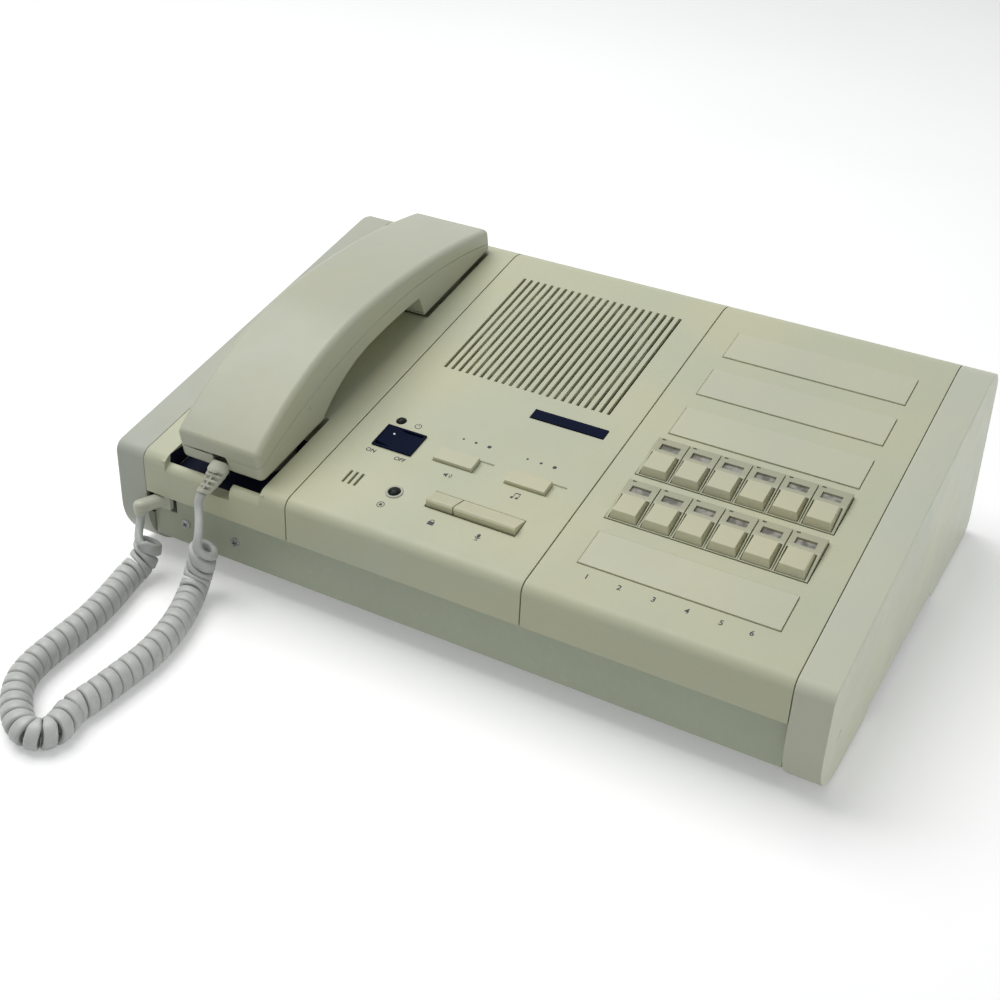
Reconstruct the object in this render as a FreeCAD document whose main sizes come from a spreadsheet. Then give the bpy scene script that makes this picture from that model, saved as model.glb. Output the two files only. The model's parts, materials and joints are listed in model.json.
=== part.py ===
import FreeCAD, Part
import math
import os
import Sketcher
from FreeCAD import Placement, Rotation, Vector

# Desk intercom console with a corded handset, built in millimetres.
# World axes: +X right, +Y to the back, +Z up. Origin: middle of the footprint, on the table.
# Slope axes, used for everything on the sloped top: u to the right from the left outer face,
# v up the slope from the front edge, n square out of the top surface.

DIMENSIONS = {
    # whole housing
    "slope_angle": 12.0,
    "front_height": 62.5,
    "slope_length": 237.5,
    "cap_width": 17.0,
    "cradle_width": 84.0,
    "speaker_width": 124.0,
    "selector_width": 123.0,
    "seam_gap": 0.5,
    # moulded covers
    "cover_wall": 2.5,
    "skirt_drop": 21.5,
    "rear_skirt_drop": 20.0,
    "front_round": 6.0,
    "rear_round": 18.0,
    "rib_depth": 6.0,
    "rib_thickness": 1.6,
    # end caps
    "cap_wall": 2.5,
    "nose_round": 28.0,
    "heel_round": 8.0,
    "arch_rise": 4.0,
    "arch_start": 70.0,
    "arch_length": 110.0,
    "side_slot_length": 5.0,
    "side_slot_width": 1.6,
    "side_slot_forward": 20.5,
    "side_slot_height": 28.0,
    # feet
    "foot_height": 1.5,
    "foot_length": 22.0,
    "foot_width": 12.0,
    "front_foot_forward": 36.0,
    "rear_foot_forward": 220.0,
    "foot_sink": 0.8,
    # folded steel chassis
    "sheet": 1.2,
    "plate_recess": 4.5,
    "plate_overlap": 6.0,
    "base_height": 7.0,
    "bevel_rise": 7.3,
    "bevel_angle": 30.0,
    "chassis_end_gap": 0.4,
    "chassis_screw_height": 26.2,
    "chassis_screw_x1": 37.2,
    "chassis_screw_x2": 67.3,
    "screw_head": 4.8,
    "screw_head_height": 1.6,
    "screw_shank": 2.8,
    "screw_length": 7.0,
    "screw_hole_play": 0.2,
    # line inlet at the back
    "inlet_hole": 12.0,
    "inlet_margin": 75.0,
    "inlet_height": 30.0,
    "inlet_flange": 16.0,
    "inlet_bore": 8.0,
    "inlet_lip": 1.5,
    "inlet_reach": 4.0,
    # cradle wells
    "well_margin": 13.3,
    "well_width": 55.9,
    "lip_depth": 4.0,
    "lip_thickness": 3.5,
    "lip_round": 4.3,
    "front_well_length": 56.0,
    "front_well_depth": 10.0,
    "rear_well_start": 152.0,
    "rear_well_length": 66.0,
    "rear_well_depth": 8.0,
    "well_wall": 2.0,
    "notch_margin": 38.5,
    "notch_width": 13.0,
    # handset
    "handset_margin": 44.5,
    "handset_width": 48.0,
    "handset_start": 5.5,
    "handset_length": 216.5,
    "handset_base": 0.8,
    "handset_wall": 2.0,
    "front_split_height": 9.2,
    "rear_split_height": 4.4,
    "split_radius": 331.0,
    "front_top_height": 17.2,
    "crest_place": 100.0,
    "crest_height": 38.2,
    "rear_top_height": 13.2,
    "front_top_radius": 185.0,
    "rear_top_radius": 460.0,
    "front_block_end": 57.5,
    "arch_crest": 104.0,
    "arch_height": 17.0,
    "arch_front_radius": 85.0,
    "arch_rear_radius": 404.0,
    "rear_step_place": 148.0,
    "rear_step_height": 14.6,
    "rear_block_start": 151.5,
    "handset_round": 3.2,
    "handset_lower_round": 2.5,
    "cap_disc_mouth": 36.0,
    "cap_disc_ear": 42.0,
    "mouth_centre": 33.0,
    "ear_centre": 187.0,
    "seat_gap": 0.4,
    "disc_wall": 1.6,
    "sound_slot_length": 12.0,
    "sound_slot_width": 1.6,
    "sound_slot_pitch": 4.0,
    "capsule_ear": 32.0,
    "capsule_mouth": 26.0,
    "capsule_height": 7.0,
    "relief_angle": 45.0,
    "relief_root_v": 6.2,
    "relief_root_n": 5.6,
    "inner_play": 0.3,
    # hook switch
    "plunger_centre": 160.0,
    "plunger_length": 9.0,
    "plunger_width": 5.0,
    "plunger_below": 16.0,
    "plunger_collar": 1.6,
    "plunger_play": 0.1,
    "hook_body_length": 20.0,
    "hook_body_width": 12.0,
    "hook_body_height": 10.0,
    "hook_ear": 2.0,
    "hook_travel": 5.0,
    # loudspeaker and grille
    "grille_margin": 14.85,
    "grille_pitch": 4.155,
    "slot_count": 23.0,
    "slot_width": 1.5,
    "grille_front": 119.3,
    "grille_length": 86.0,
    "speaker_diameter": 86.0,
    "speaker_depth": 26.0,
    "cone_edge": 74.0,
    "cone_depth": 11.0,
    "cone_thickness": 0.8,
    "dome_diameter": 24.0,
    "basket_floor": 44.0,
    "basket_neck": 39.2,
    "basket_sheet": 1.2,
    "magnet_diameter": 52.0,
    "magnet_height": 12.0,
    "clamp_length": 9.0,
    "clamp_width": 8.0,
    "clamp_sheet": 1.5,
    # badge strip
    "badge_margin": 10.8,
    "badge_width": 39.5,
    "badge_front": 101.4,
    "badge_length": 6.8,
    "badge_depth": 0.8,
    "badge_proud": 0.5,
    "badge_play": 0.1,
    # power rocker
    "rocker_margin": 14.4,
    "bezel_width": 21.8,
    "bezel_front": 52.0,
    "bezel_length": 15.8,
    "bezel_wall": 1.1,
    "bezel_proud": 1.0,
    "rocker_play": 0.35,
    "rocker_tilt": 8.0,
    "rocker_rise": 1.4,
    "rocker_dish": 1.3,
    "rocker_pivot_depth": 2.0,
    "rocker_skirt": 4.0,
    "rocker_pin": 2.0,
    "switch_depth": 16.0,
    # lamps
    "lamp_play": 0.1,
    "power_lamp_margin": 18.2,
    "power_lamp_v": 73.2,
    "power_lamp_diameter": 5.0,
    "busy_lamp_margin": 42.6,
    "busy_lamp_v": 27.8,
    "busy_lamp_diameter": 6.0,
    "busy_bezel_diameter": 8.6,
    "busy_bezel_proud": 0.5,
    "lamp_body": 6.0,
    "lamp_proud": 1.2,
    # microphone
    "mic_slot_margin": 16.4,
    "mic_slot_pitch": 3.2,
    "mic_slot_front": 23.7,
    "mic_slot_length": 8.8,
    "mic_slot_width": 1.2,
    "mic_diameter": 9.6,
    "mic_height": 6.0,
    "boot_wall": 1.2,
    # voice and tone slides
    "voice_share": 0.379839,
    "tone_share": 0.688710,
    "slide_front": 54.9,
    "slide_cap_width": 20.8,
    "slide_cap_length": 8.6,
    "slide_proud": 1.8,
    "slide_cap_round": 0.5,
    "slide_travel": 7.0,
    "slide_recess": 0.9,
    "slide_play": 0.35,
    "stem_width": 4.0,
    "stem_length": 2.6,
    "stem_below": 5.0,
    "slide_body_width": 18.0,
    "slide_body_length": 7.0,
    "slide_body_height": 7.0,
    # lock and talk keys
    "lock_share": 0.486290,
    "lock_width": 14.3,
    "talk_width": 32.0,
    "key_pair_gap": 0.4,
    "lever_front": 26.4,
    "lever_cap_length": 10.0,
    "lever_proud": 3.6,
    "lever_back_proud": 0.3,
    "lever_skirt": 4.6,
    "lever_play": 0.35,
    "lever_front_play": 0.9,
    "lever_bore_play": 0.05,
    "bracket_width": 3.0,
    "bracket_drop": 9.0,
    "lever_arm": 2.2,
    "lever_pivot_v": 50.0,
    "lever_pin": 2.5,
    "lever_hub": 6.0,
    "lever_boss": 2.6,
    "lever_travel": 2.2,
    "lever_switch_size": 6.0,
    "lever_switch_height": 5.0,
    "front_board_margin": 27.0,
    "front_board_side": 7.0,
    "front_board_front": 18.0,
    "front_board_length": 24.0,
    # name plates
    "plate_margin": 15.0,
    "plate_width": 93.3,
    "plate_length": 22.0,
    "plate_depth": 0.8,
    "plate_play": 0.35,
    "plate_sheet": 1.3,
    "plate_front_1": 183.7,
    "plate_front_2": 151.0,
    "plate_front_3": 118.3,
    "plate_front_4": 22.9,
    # selector keys
    "key_columns": 6.0,
    "key_pitch": 15.65,
    "frame_margin": 13.4,
    "key_cell_width": 13.85,
    "key_row_front_1": 85.9,
    "key_row_front_2": 53.7,
    "frame_length": 26.4,
    "frame_rim": 1.2,
    "frame_proud": 2.4,
    "frame_low": 0.3,
    "frame_front_rim": 0.5,
    "frame_groove": 0.5,
    "frame_mark": 1.8,
    "frame_below": 3.8,
    "frame_flange": 1.3,
    "key_cell_length": 14.8,
    "key_side_inset": 1.0,
    "key_front_inset": 1.7,
    "key_back_inset": 0.9,
    "key_proud": 4.0,
    "key_below": 4.0,
    "key_play": 0.3,
    "key_travel": 2.0,
    "key_stem": 4.0,
    "key_stem_length": 6.0,
    "switch_bore_play": 0.25,
    "key_switch_size": 8.0,
    "key_switch_height": 7.5,
    "lens_front": 17.9,
    "lens_side": 2.2,
    "lens_length": 4.2,
    "lens_sink": 1.0,
    "lens_sheet": 1.2,
    # circuit boards
    "board_sheet": 1.6,
    "key_board_margin": 7.5,
    "post_diameter": 5.0,
    "main_board_width": 150.0,
    "main_board_length": 90.0,
    "main_board_margin": 9.0,
    "main_board_front": 60.0,
    "main_board_stand": 8.0,
    "pillar_diameter": 6.0,
    "terminal_width": 60.0,
    "terminal_length": 12.0,
    "terminal_height": 12.0,
    "terminal_margin": 43.0,
    "terminal_front": 150.0,
    "terminal_wells": 8.0,
    "terminal_pitch": 7.4,
    "terminal_well": 4.0,
    "terminal_side": 2.0,
    "spacer_inset": 8.0,
    "chip_left": 20.0,
    "chip_front": 18.0,
    "chip_pitch": 26.0,
    "chip_width": 18.0,
    "chip_length": 7.0,
    "chip_height": 4.0,
    "chip_count": 4.0,
    "can_left": 30.0,
    "can_front": 62.0,
    "can_pitch": 20.0,
    "can_diameter": 13.0,
    "can_height": 22.0,
    "can_count": 3.0,
    "relay_left": 92.0,
    "relay_front": 50.0,
    "relay_pitch": 26.0,
    "relay_width": 20.0,
    "relay_length": 14.0,
    "relay_height": 14.0,
    "relay_count": 2.0,
    # handset socket, plug and cord
    "jack_left": 18.6,
    "jack_width": 12.4,
    "jack_low_drop": 32.0,
    "jack_high_drop": 21.0,
    "jack_flange": 1.5,
    "jack_depth": 16.0,
    "jack_wall": 1.4,
    "plug_play": 0.15,
    "plug_length": 12.0,
    "plug_stick_out": 2.4,
    "boot_diameter": 6.6,
    "boot_reach": 13.2,
    "boot_turn": 23.0,
    "boot_rise": 0.8,
    "boot_round": 2.6,
    "boot_outlet": 0.6,
    "boot_sink": 2.0,
    "cord_diameter": 4.0,
    "curl_outer": 14.0,
    "curl_pitch": 6.4,
    "curl_inner_pitch": 5.3,
    "curl_lift": 0.15,
    "curl_soft_start": 7.5,
    "relief_diameter": 8.5,
    "relief_tip": 5.3,
    "relief_length": 17.0,
    "relief_flat": 5.0,
    "relief_window": 1.5,
    "relief_pitch": 2.7,
    "relief_windows": 4.0,
    "relief_cut": 1.3,
    "relief_first": 2.2,
}


class Size:
    """A number and the spreadsheet expression that gives it."""

    def __init__(self, value, text):
        self.value = float(value)
        self.text = text

    def __add__(self, other):
        other = as_size(other)
        return Size(self.value + other.value, "(%s + %s)" % (self.text, other.text))

    def __sub__(self, other):
        other = as_size(other)
        return Size(self.value - other.value, "(%s - %s)" % (self.text, other.text))

    def __mul__(self, other):
        other = as_size(other)
        return Size(self.value * other.value, "(%s * %s)" % (self.text, other.text))

    def __truediv__(self, other):
        other = as_size(other)
        return Size(self.value / other.value, "(%s / %s)" % (self.text, other.text))

    def __radd__(self, other):
        return as_size(other) + self

    def __rsub__(self, other):
        return as_size(other) - self

    def __rmul__(self, other):
        return as_size(other) * self

    def __rtruediv__(self, other):
        return as_size(other) / self

    def __neg__(self):
        return Size(-self.value, "(0 - %s)" % self.text)


def as_size(number):
    if isinstance(number, Size):
        return number
    if number < 0:
        return Size(number, "(0 - %s)" % repr(float(-number)))
    return Size(number, repr(float(number)))


def sin_of(angle):
    angle = as_size(angle)
    return Size(math.sin(math.radians(angle.value)), "sin(%s)" % angle.text)


def cos_of(angle):
    angle = as_size(angle)
    return Size(math.cos(math.radians(angle.value)), "cos(%s)" % angle.text)


def tan_of(angle):
    angle = as_size(angle)
    return Size(math.tan(math.radians(angle.value)), "tan(%s)" % angle.text)


doc = FreeCAD.newDocument("intercom_console")
sheet = doc.addObject("Spreadsheet::Sheet", "Sizes")
for row, (name, value) in enumerate(DIMENSIONS.items(), start=1):
    sheet.set("A%d" % row, name)
    sheet.set("B%d" % row, str(value))
    sheet.setAlias("B%d" % row, name)
doc.recompute()


def size(name):
    """The named driving dimension, read from the sheet."""
    return Size(sheet.get(name), "Sizes." + name)


# Values that several pieces share

slope = size("slope_angle")
sine = sin_of(slope)
cosine = cos_of(slope)
tangent = tan_of(slope)
front_height = size("front_height")
slope_length = size("slope_length")
cap_width = size("cap_width")
cradle_left = cap_width
speaker_left = cradle_left + size("cradle_width")
selector_left = speaker_left + size("speaker_width")
right_cap_left = selector_left + size("selector_width")
console_width = right_cap_left + cap_width
seam = size("seam_gap")
wall = size("cover_wall")

# Places across the console, each counted from the edge of the module that carries it
well_left = cradle_left + size("well_margin")
notch_left = cradle_left + size("notch_margin")
handset_centre = cradle_left + size("handset_margin")
grille_left = speaker_left + size("grille_margin")
rocker_left = speaker_left + size("rocker_margin")
power_lamp_u = speaker_left + size("power_lamp_margin")
busy_lamp_u = speaker_left + size("busy_lamp_margin")
mic_slot_u = speaker_left + size("mic_slot_margin")
voice_left = speaker_left + size("speaker_width") * size("voice_share")
tone_left = speaker_left + size("speaker_width") * size("tone_share")
lock_left = speaker_left + size("speaker_width") * size("lock_share")
badge_left = selector_left - size("badge_margin") - size("badge_width")
front_board_left = speaker_left + size("front_board_margin")
front_board_width = size("speaker_width") - size("front_board_margin") - size("front_board_side")
frame_left = selector_left + size("frame_margin")
plate_left = selector_left + size("plate_margin")
inlet_left = selector_left + size("inlet_margin")
jack_low = front_height - size("jack_low_drop")
jack_high = front_height - size("jack_high_drop")

# Corners of the side view in world axes, counted from the front wall
rear_top_y = slope_length * cosine
rear_top_z = front_height + slope_length * sine
rear_foot_y = rear_top_y + rear_top_z * tangent
heel_loss = (size("foot_height") + size("heel_round")) * tangent + size("heel_round") * (1 / cosine - 1)
console_depth = rear_foot_y - heel_loss

PARTS = []


# Document helpers

def bind(thing, path, number):
    """Tie one property of an object to the sheet."""
    thing.setExpression(path, as_size(number).text)


def new_body(label, x, y, z, tilt=0):
    """An empty body, with its place in world axes and its tilt about X tied to the sheet."""
    body = doc.addObject("PartDesign::Body", label)
    body.Label = label
    body.AllowCompound = True
    places = tuple(as_size(number).text for number in (x, y, z, tilt))
    body.setExpression("Placement", "placement(vector(%s; %s; %s); rotation(vector(1; 0; 0); %s))" % places)
    PARTS.append(body)
    return body


def world_body(label, x=0, y=0, z=0):
    """A body in world directions, counted from the left outer face, the front wall and the table."""
    return new_body(label, as_size(x) - console_width / 2, as_size(y) - console_depth / 2, z)


def slope_body(label, u=0, v=0, n=0):
    """A body in the slope axes, with its own origin at the given place on the slope."""
    u = as_size(u)
    v = as_size(v)
    n = as_size(n)
    x = u - console_width / 2
    y = v * cosine - n * sine - console_depth / 2
    z = v * sine + n * cosine + front_height
    return new_body(label, x, y, z, slope)


def origin_feature(body, role):
    for feature in body.Origin.OriginFeatures:
        if feature.Role == role:
            return feature
    raise RuntimeError("no %s in %s" % (role, body.Label))


def new_sketch(body, plane, offset):
    """A sketch on one of the body's own origin planes, moved along the plane's normal."""
    sketch = body.newObject("Sketcher::SketchObject", body.Label + "_sketch")
    sketch.AttachmentSupport = (origin_feature(body, plane + "_Plane"), [""])
    sketch.MapMode = "FlatFace"
    bind(sketch, "AttachmentOffset.Base.z", offset)
    return sketch


def rectangle(left, bottom, width, height):
    left = as_size(left)
    bottom = as_size(bottom)
    right = left + width
    top = bottom + height
    return [(left, bottom), (right, bottom), (right, top), (left, top)]


def circle(x, y, diameter):
    return {"centre": (as_size(x), as_size(y)), "radius": as_size(diameter) / 2}


def arc_centre(start, end, radius, turn):
    """Centre of the arc from start to end, turning left (turn 1) or right (turn -1)."""
    middle = (start + end) * 0.5
    half = (end - start).Length / 2
    reach = math.sqrt(max(radius * radius - half * half, 0.0))
    across = Vector(-(end - start).y, (end - start).x, 0).normalize()
    return middle + across * (reach * turn)


def add_outline(sketch, corners):
    """A closed outline. A corner is (x, y), or (x, y, radius, turn) where an arc leaves it."""
    corners = [tuple(corner) for corner in corners]
    points = [Vector(as_size(c[0]).value, as_size(c[1]).value, 0) for c in corners]
    count = len(corners)
    first = sketch.GeometryCount
    starts = []
    ends = []
    for index, corner in enumerate(corners):
        start = points[index]
        end = points[(index + 1) % count]
        if len(corner) == 2:
            sketch.addGeometry(Part.LineSegment(start, end), False)
            starts.append(1)
            ends.append(2)
            continue
        radius = as_size(corner[2]).value
        turn = corner[3]
        centre = arc_centre(start, end, radius, turn)
        angles = [math.atan2(point.y - centre.y, point.x - centre.x) for point in (start, end)]
        if turn < 0:
            angles.reverse()
        if angles[1] < angles[0]:
            angles[1] += 2 * math.pi
        ring = Part.Circle(centre, Vector(0, 0, 1), radius)
        sketch.addGeometry(Part.ArcOfCircle(ring, angles[0], angles[1]), False)
        starts.append(1 if turn > 0 else 2)
        ends.append(2 if turn > 0 else 1)
    for index in range(count):
        after = (index + 1) % count
        sketch.addConstraint(Sketcher.Constraint(
            "Coincident", first + index, ends[index], first + after, starts[after]))
    for index, corner in enumerate(corners):
        for axis, number in (("DistanceX", corner[0]), ("DistanceY", corner[1])):
            number = as_size(number)
            place = sketch.addConstraint(Sketcher.Constraint(
                axis, -1, 1, first + index, starts[index], number.value))
            bind(sketch, "Constraints[%d]" % place, number)
        if len(corner) == 4:
            radius = as_size(corner[2])
            place = sketch.addConstraint(Sketcher.Constraint("Radius", first + index, radius.value))
            bind(sketch, "Constraints[%d]" % place, radius)


def add_circle(sketch, ring):
    x, y = ring["centre"]
    radius = ring["radius"]
    index = sketch.GeometryCount
    middle = Vector(x.value, y.value, 0)
    sketch.addGeometry(Part.Circle(middle, Vector(0, 0, 1), radius.value), False)
    for kind, number in (("DistanceX", x), ("DistanceY", y)):
        place = sketch.addConstraint(Sketcher.Constraint(kind, -1, 1, index, 3, number.value))
        bind(sketch, "Constraints[%d]" % place, number)
    place = sketch.addConstraint(Sketcher.Constraint("Radius", index, radius.value))
    bind(sketch, "Constraints[%d]" % place, radius)


def fill_sketch(sketch, loops):
    for loop in loops:
        if isinstance(loop, dict):
            add_circle(sketch, loop)
        else:
            add_outline(sketch, loop)


def pad(body, plane, loops, start, length):
    """Material from start over length, along +Z, +X or +Y for the XY, YZ or XZ plane."""
    start = as_size(start)
    length = as_size(length)
    offset = -(start + length) if plane == "XZ" else start
    sketch = new_sketch(body, plane, offset)
    fill_sketch(sketch, loops)
    feature = body.newObject("PartDesign::Pad", body.Label + "_pad")
    feature.Profile = sketch
    bind(feature, "Length", length)
    return feature


def pocket(body, plane, loops, start, length):
    """A cut from start over length, along +Z, +X or +Y for the XY, YZ or XZ plane."""
    start = as_size(start)
    length = as_size(length)
    offset = -start if plane == "XZ" else start + length
    sketch = new_sketch(body, plane, offset)
    fill_sketch(sketch, loops)
    feature = body.newObject("PartDesign::Pocket", body.Label + "_pocket")
    feature.Profile = sketch
    bind(feature, "Length", length)
    return feature


def revolve(body, outline, groove=False):
    """A full turn of an outline of the XZ plane about the Z axis."""
    sketch = new_sketch(body, "XZ", 0)
    fill_sketch(sketch, [outline])
    kind = "PartDesign::Groove" if groove else "PartDesign::Revolution"
    feature = body.newObject(kind, body.Label + "_turn")
    feature.Profile = sketch
    feature.ReferenceAxis = (origin_feature(body, "Z_Axis"), [""])
    feature.Angle = 360
    return feature


def row_pattern(body, feature, axis, count, pitch):
    """Repeats one feature along an axis of the body."""
    pattern = body.newObject("PartDesign::LinearPattern", body.Label + "_row")
    pattern.Originals = [feature]
    pattern.Direction = (origin_feature(body, axis + "_Axis"), [""])
    bind(pattern, "Length", (as_size(count) - 1) * pitch)
    bind(pattern, "Occurrences", count)
    body.Tip = pattern
    return pattern


def round_edges(body, radius, chosen):
    """A fillet on the edges of the body that the test picks out."""
    doc.recompute()
    base = body.Tip
    names = ["Edge%d" % (i + 1) for i, edge in enumerate(base.Shape.Edges) if chosen(edge)]
    if not names:
        raise RuntimeError("no edge to round on " + body.Label)
    feature = body.newObject("PartDesign::Fillet", body.Label + "_round")
    feature.Base = (base, names)
    bind(feature, "Radius", radius)
    return feature


def near(a, b):
    return abs(as_size(a).value - as_size(b).value) < 0.02


def runs_along_x_at(y, z):
    """Picks the edge parallel to X that passes a place in the body's own YZ view."""
    def chosen(edge):
        box = edge.BoundBox
        flat = box.YLength < 0.01 and box.ZLength < 0.01
        return flat and near(box.Center.y, y) and near(box.Center.z, z)
    return chosen


# End caps

def cap_outline():
    foot = size("foot_height")
    arch = size("arch_rise")
    arch_start = size("arch_start")
    arch_end = arch_start + size("arch_length")
    rear_y = rear_foot_y - foot * tangent
    return [
        (as_size(0), foot),
        (arch_start, foot),
        (arch_start + arch, foot + arch),
        (arch_end - arch, foot + arch),
        (arch_end, foot),
        (rear_y, foot),
        (rear_top_y, rear_top_z),
        (as_size(0), front_height),
    ]


def cap_cavity_outline():
    cap_wall = size("cap_wall")
    foot = size("foot_height")
    nose = size("nose_round")
    floor = foot + size("arch_rise") + cap_wall
    top_shift = cap_wall / cosine
    rear_low_y = rear_foot_y - floor * tangent - cap_wall / cosine
    corner_y = rear_top_y - cap_wall * cosine + cap_wall * sine
    corner_z = rear_top_z - cap_wall * cosine - cap_wall * sine
    heel = size("heel_round")
    top_round = size("rear_round")
    return [
        (cap_wall, nose),
        (nose, floor),
        (rear_low_y - heel, floor),
        (rear_low_y - heel * tangent, floor + heel),
        (corner_y + top_round * sine, corner_z - top_round * cosine),
        (corner_y - top_round * cosine, corner_z - top_round * sine),
        (cap_wall, front_height - top_shift + cap_wall * tangent),
    ]


def side_slot(forward, height):
    """A short slot that leans forty-five degrees."""
    reach = size("side_slot_length") / 2 * cos_of(45)
    half = size("side_slot_width") / 2 * cos_of(45)
    return [
        (forward - reach + half, height - reach - half),
        (forward + reach + half, height + reach - half),
        (forward + reach - half, height + reach + half),
        (forward - reach - half, height - reach + half),
    ]


def end_cap(label, left, outer_start, cavity_start):
    body = world_body(label, left)
    pad(body, "YZ", [cap_outline()], 0, cap_width)
    foot = size("foot_height")
    rear_y = rear_foot_y - foot * tangent
    round_edges(body, size("nose_round"), runs_along_x_at(0, foot))
    round_edges(body, size("heel_round"), runs_along_x_at(rear_y, foot))
    round_edges(body, size("rear_round"), runs_along_x_at(rear_top_y, rear_top_z))
    round_edges(body, size("front_round"), runs_along_x_at(0, front_height))
    pocket(body, "YZ", [cap_cavity_outline()], cavity_start, cap_width - size("cap_wall"))
    slot = side_slot(size("side_slot_forward"), size("side_slot_height"))
    pocket(body, "YZ", [slot], outer_start, size("cap_wall"))
    seat = size("foot_sink")
    for forward in (size("front_foot_forward"), size("rear_foot_forward")):
        foot_left = (cap_width - size("foot_width")) / 2
        outline = rectangle(foot_left, forward, size("foot_width"), size("foot_length"))
        pocket(body, "XY", [outline], foot, seat)
    return body


end_cap("left_end_cap", 0, 0, size("cap_wall"))
end_cap("right_end_cap", right_cap_left, cap_width - size("cap_wall"), 0)


# Rubber feet, seated in shallow recesses under the end caps

def feet():
    body = world_body("feet")
    loops = []
    play = size("inner_play")
    for cap_left in (as_size(0), right_cap_left):
        for forward in (size("front_foot_forward"), size("rear_foot_forward")):
            foot_left = cap_left + (cap_width - size("foot_width")) / 2 + play
            width = size("foot_width") - play * 2
            length = size("foot_length") - play * 2
            loops.append(rectangle(foot_left, forward + play, width, length))
    pad(body, "XY", loops, 0, size("foot_height") + size("foot_sink"))


feet()


# Folded chassis: front plate, bevel, base and rear plate in one sheet

def chassis_outline():
    sheet_size = size("sheet")
    front = size("plate_recess")
    base = size("base_height")
    bevel = size("bevel_angle")
    bevel_top = base + size("bevel_rise")
    bevel_run = size("bevel_rise") / tan_of(bevel)
    plate_top = front_height - size("skirt_drop") + size("plate_overlap")
    upper_shift = sheet_size * tan_of((90 - bevel) / 2)
    lower_shift = sheet_size * tan_of(bevel / 2)
    recess = size("plate_recess") / cosine
    rear_drop = size("rear_skirt_drop") - size("plate_overlap")
    rear_high_z = rear_top_z - rear_drop * cosine - size("plate_recess") * sine
    rear_base_y = rear_foot_y - recess - base * tangent
    rear_high_y = rear_foot_y - recess - rear_high_z * tangent
    inner_base_y = rear_base_y - sheet_size / cosine - sheet_size * tangent
    inner_high_y = rear_high_y - sheet_size / cosine
    return [
        (front, plate_top),
        (front, bevel_top),
        (front + bevel_run, base),
        (rear_base_y, base),
        (rear_high_y, rear_high_z),
        (inner_high_y, rear_high_z),
        (inner_base_y, base + sheet_size),
        (front + bevel_run + lower_shift, base + sheet_size),
        (front + sheet_size, bevel_top + upper_shift),
        (front + sheet_size, plate_top),
    ]


def rear_plate_place(height):
    """World Y of the rear plate's outer face at a height."""
    return rear_foot_y - size("plate_recess") / cosine - height * tangent


def chassis():
    body = world_body("chassis")
    gap = size("chassis_end_gap")
    left = cap_width + gap
    width = right_cap_left - cap_width - gap * 2
    pad(body, "YZ", [chassis_outline()], left, width)
    front = size("plate_recess")
    sheet_size = size("sheet")
    margin = size("inner_play")
    jack_cut = rectangle(
        size("jack_left") - margin, jack_low - margin,
        size("jack_width") + margin * 2, jack_high - jack_low + margin * 2)
    hole = size("screw_shank") + size("screw_hole_play") * 2
    holes = [jack_cut]
    for x in (size("chassis_screw_x1"), size("chassis_screw_x2")):
        holes.append(circle(x, size("chassis_screw_height"), hole))
    pocket(body, "XZ", holes, front - 1, sheet_size + 2)
    inlet_y = rear_plate_place(size("inlet_height"))
    inlet = circle(inlet_left, size("inlet_height"), size("inlet_hole"))
    pocket(body, "XZ", [inlet], inlet_y - sheet_size * 6, sheet_size * 12)
    return body


chassis()


def screws():
    """Pan-head screws of the front plate."""
    body = world_body("chassis_screws")
    front = size("plate_recess")
    heads = []
    shanks = []
    for x in (size("chassis_screw_x1"), size("chassis_screw_x2")):
        heads.append(circle(x, size("chassis_screw_height"), size("screw_head")))
        shanks.append(circle(x, size("chassis_screw_height"), size("screw_shank")))
    pad(body, "XZ", heads, front - size("screw_head_height"), size("screw_head_height"))
    pad(body, "XZ", shanks, front, size("screw_length"))
    return body


screws()


def line_inlet():
    """Rubber bush for the line cable in the rear plate."""
    height = size("inlet_height")
    y = rear_plate_place(height)
    x = inlet_left
    body = new_body("line_inlet_bush", x - console_width / 2, y - console_depth / 2, height, slope - 90)
    bush = size("inlet_hole") - size("inner_play") * 2
    reach = size("inlet_reach")
    lip = size("inlet_lip")
    revolve(body, [
        (size("inlet_bore") / 2, -reach),
        (bush / 2, -reach),
        (bush / 2, 0),
        (size("inlet_flange") / 2, 0),
        (size("inlet_flange") / 2, lip),
        (size("inlet_bore") / 2, lip),
    ])
    return body


line_inlet()


# Top covers

def cover_outline():
    """Section of a cover in the slope axes: front skirt, top and rear skirt."""
    drop = size("skirt_drop")
    rear_drop = size("rear_skirt_drop")
    skirt_x = -drop * sine
    skirt_y = -drop * cosine
    inner_x = skirt_x + wall * cosine
    inner_y = skirt_y - wall * sine
    corner_shift = wall * (1 - sine) / cosine
    return [
        (skirt_x, skirt_y),
        (inner_x, inner_y),
        (corner_shift, -wall),
        (slope_length - wall, -wall),
        (slope_length - wall, -rear_drop),
        (slope_length, -rear_drop),
        (slope_length, as_size(0)),
        (as_size(0), as_size(0)),
    ]


def end_rib_outline():
    """Stiffening rib at the side of a cover, under the top."""
    deep = size("rib_depth") + wall
    shift = deep * sine
    start = wall * (1 - sine) / cosine + size("front_round")
    return [
        (start, -wall),
        (start + shift, -deep),
        (slope_length - wall - size("rear_round"), -deep),
        (slope_length - wall - size("rear_round"), -wall),
    ]


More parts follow.
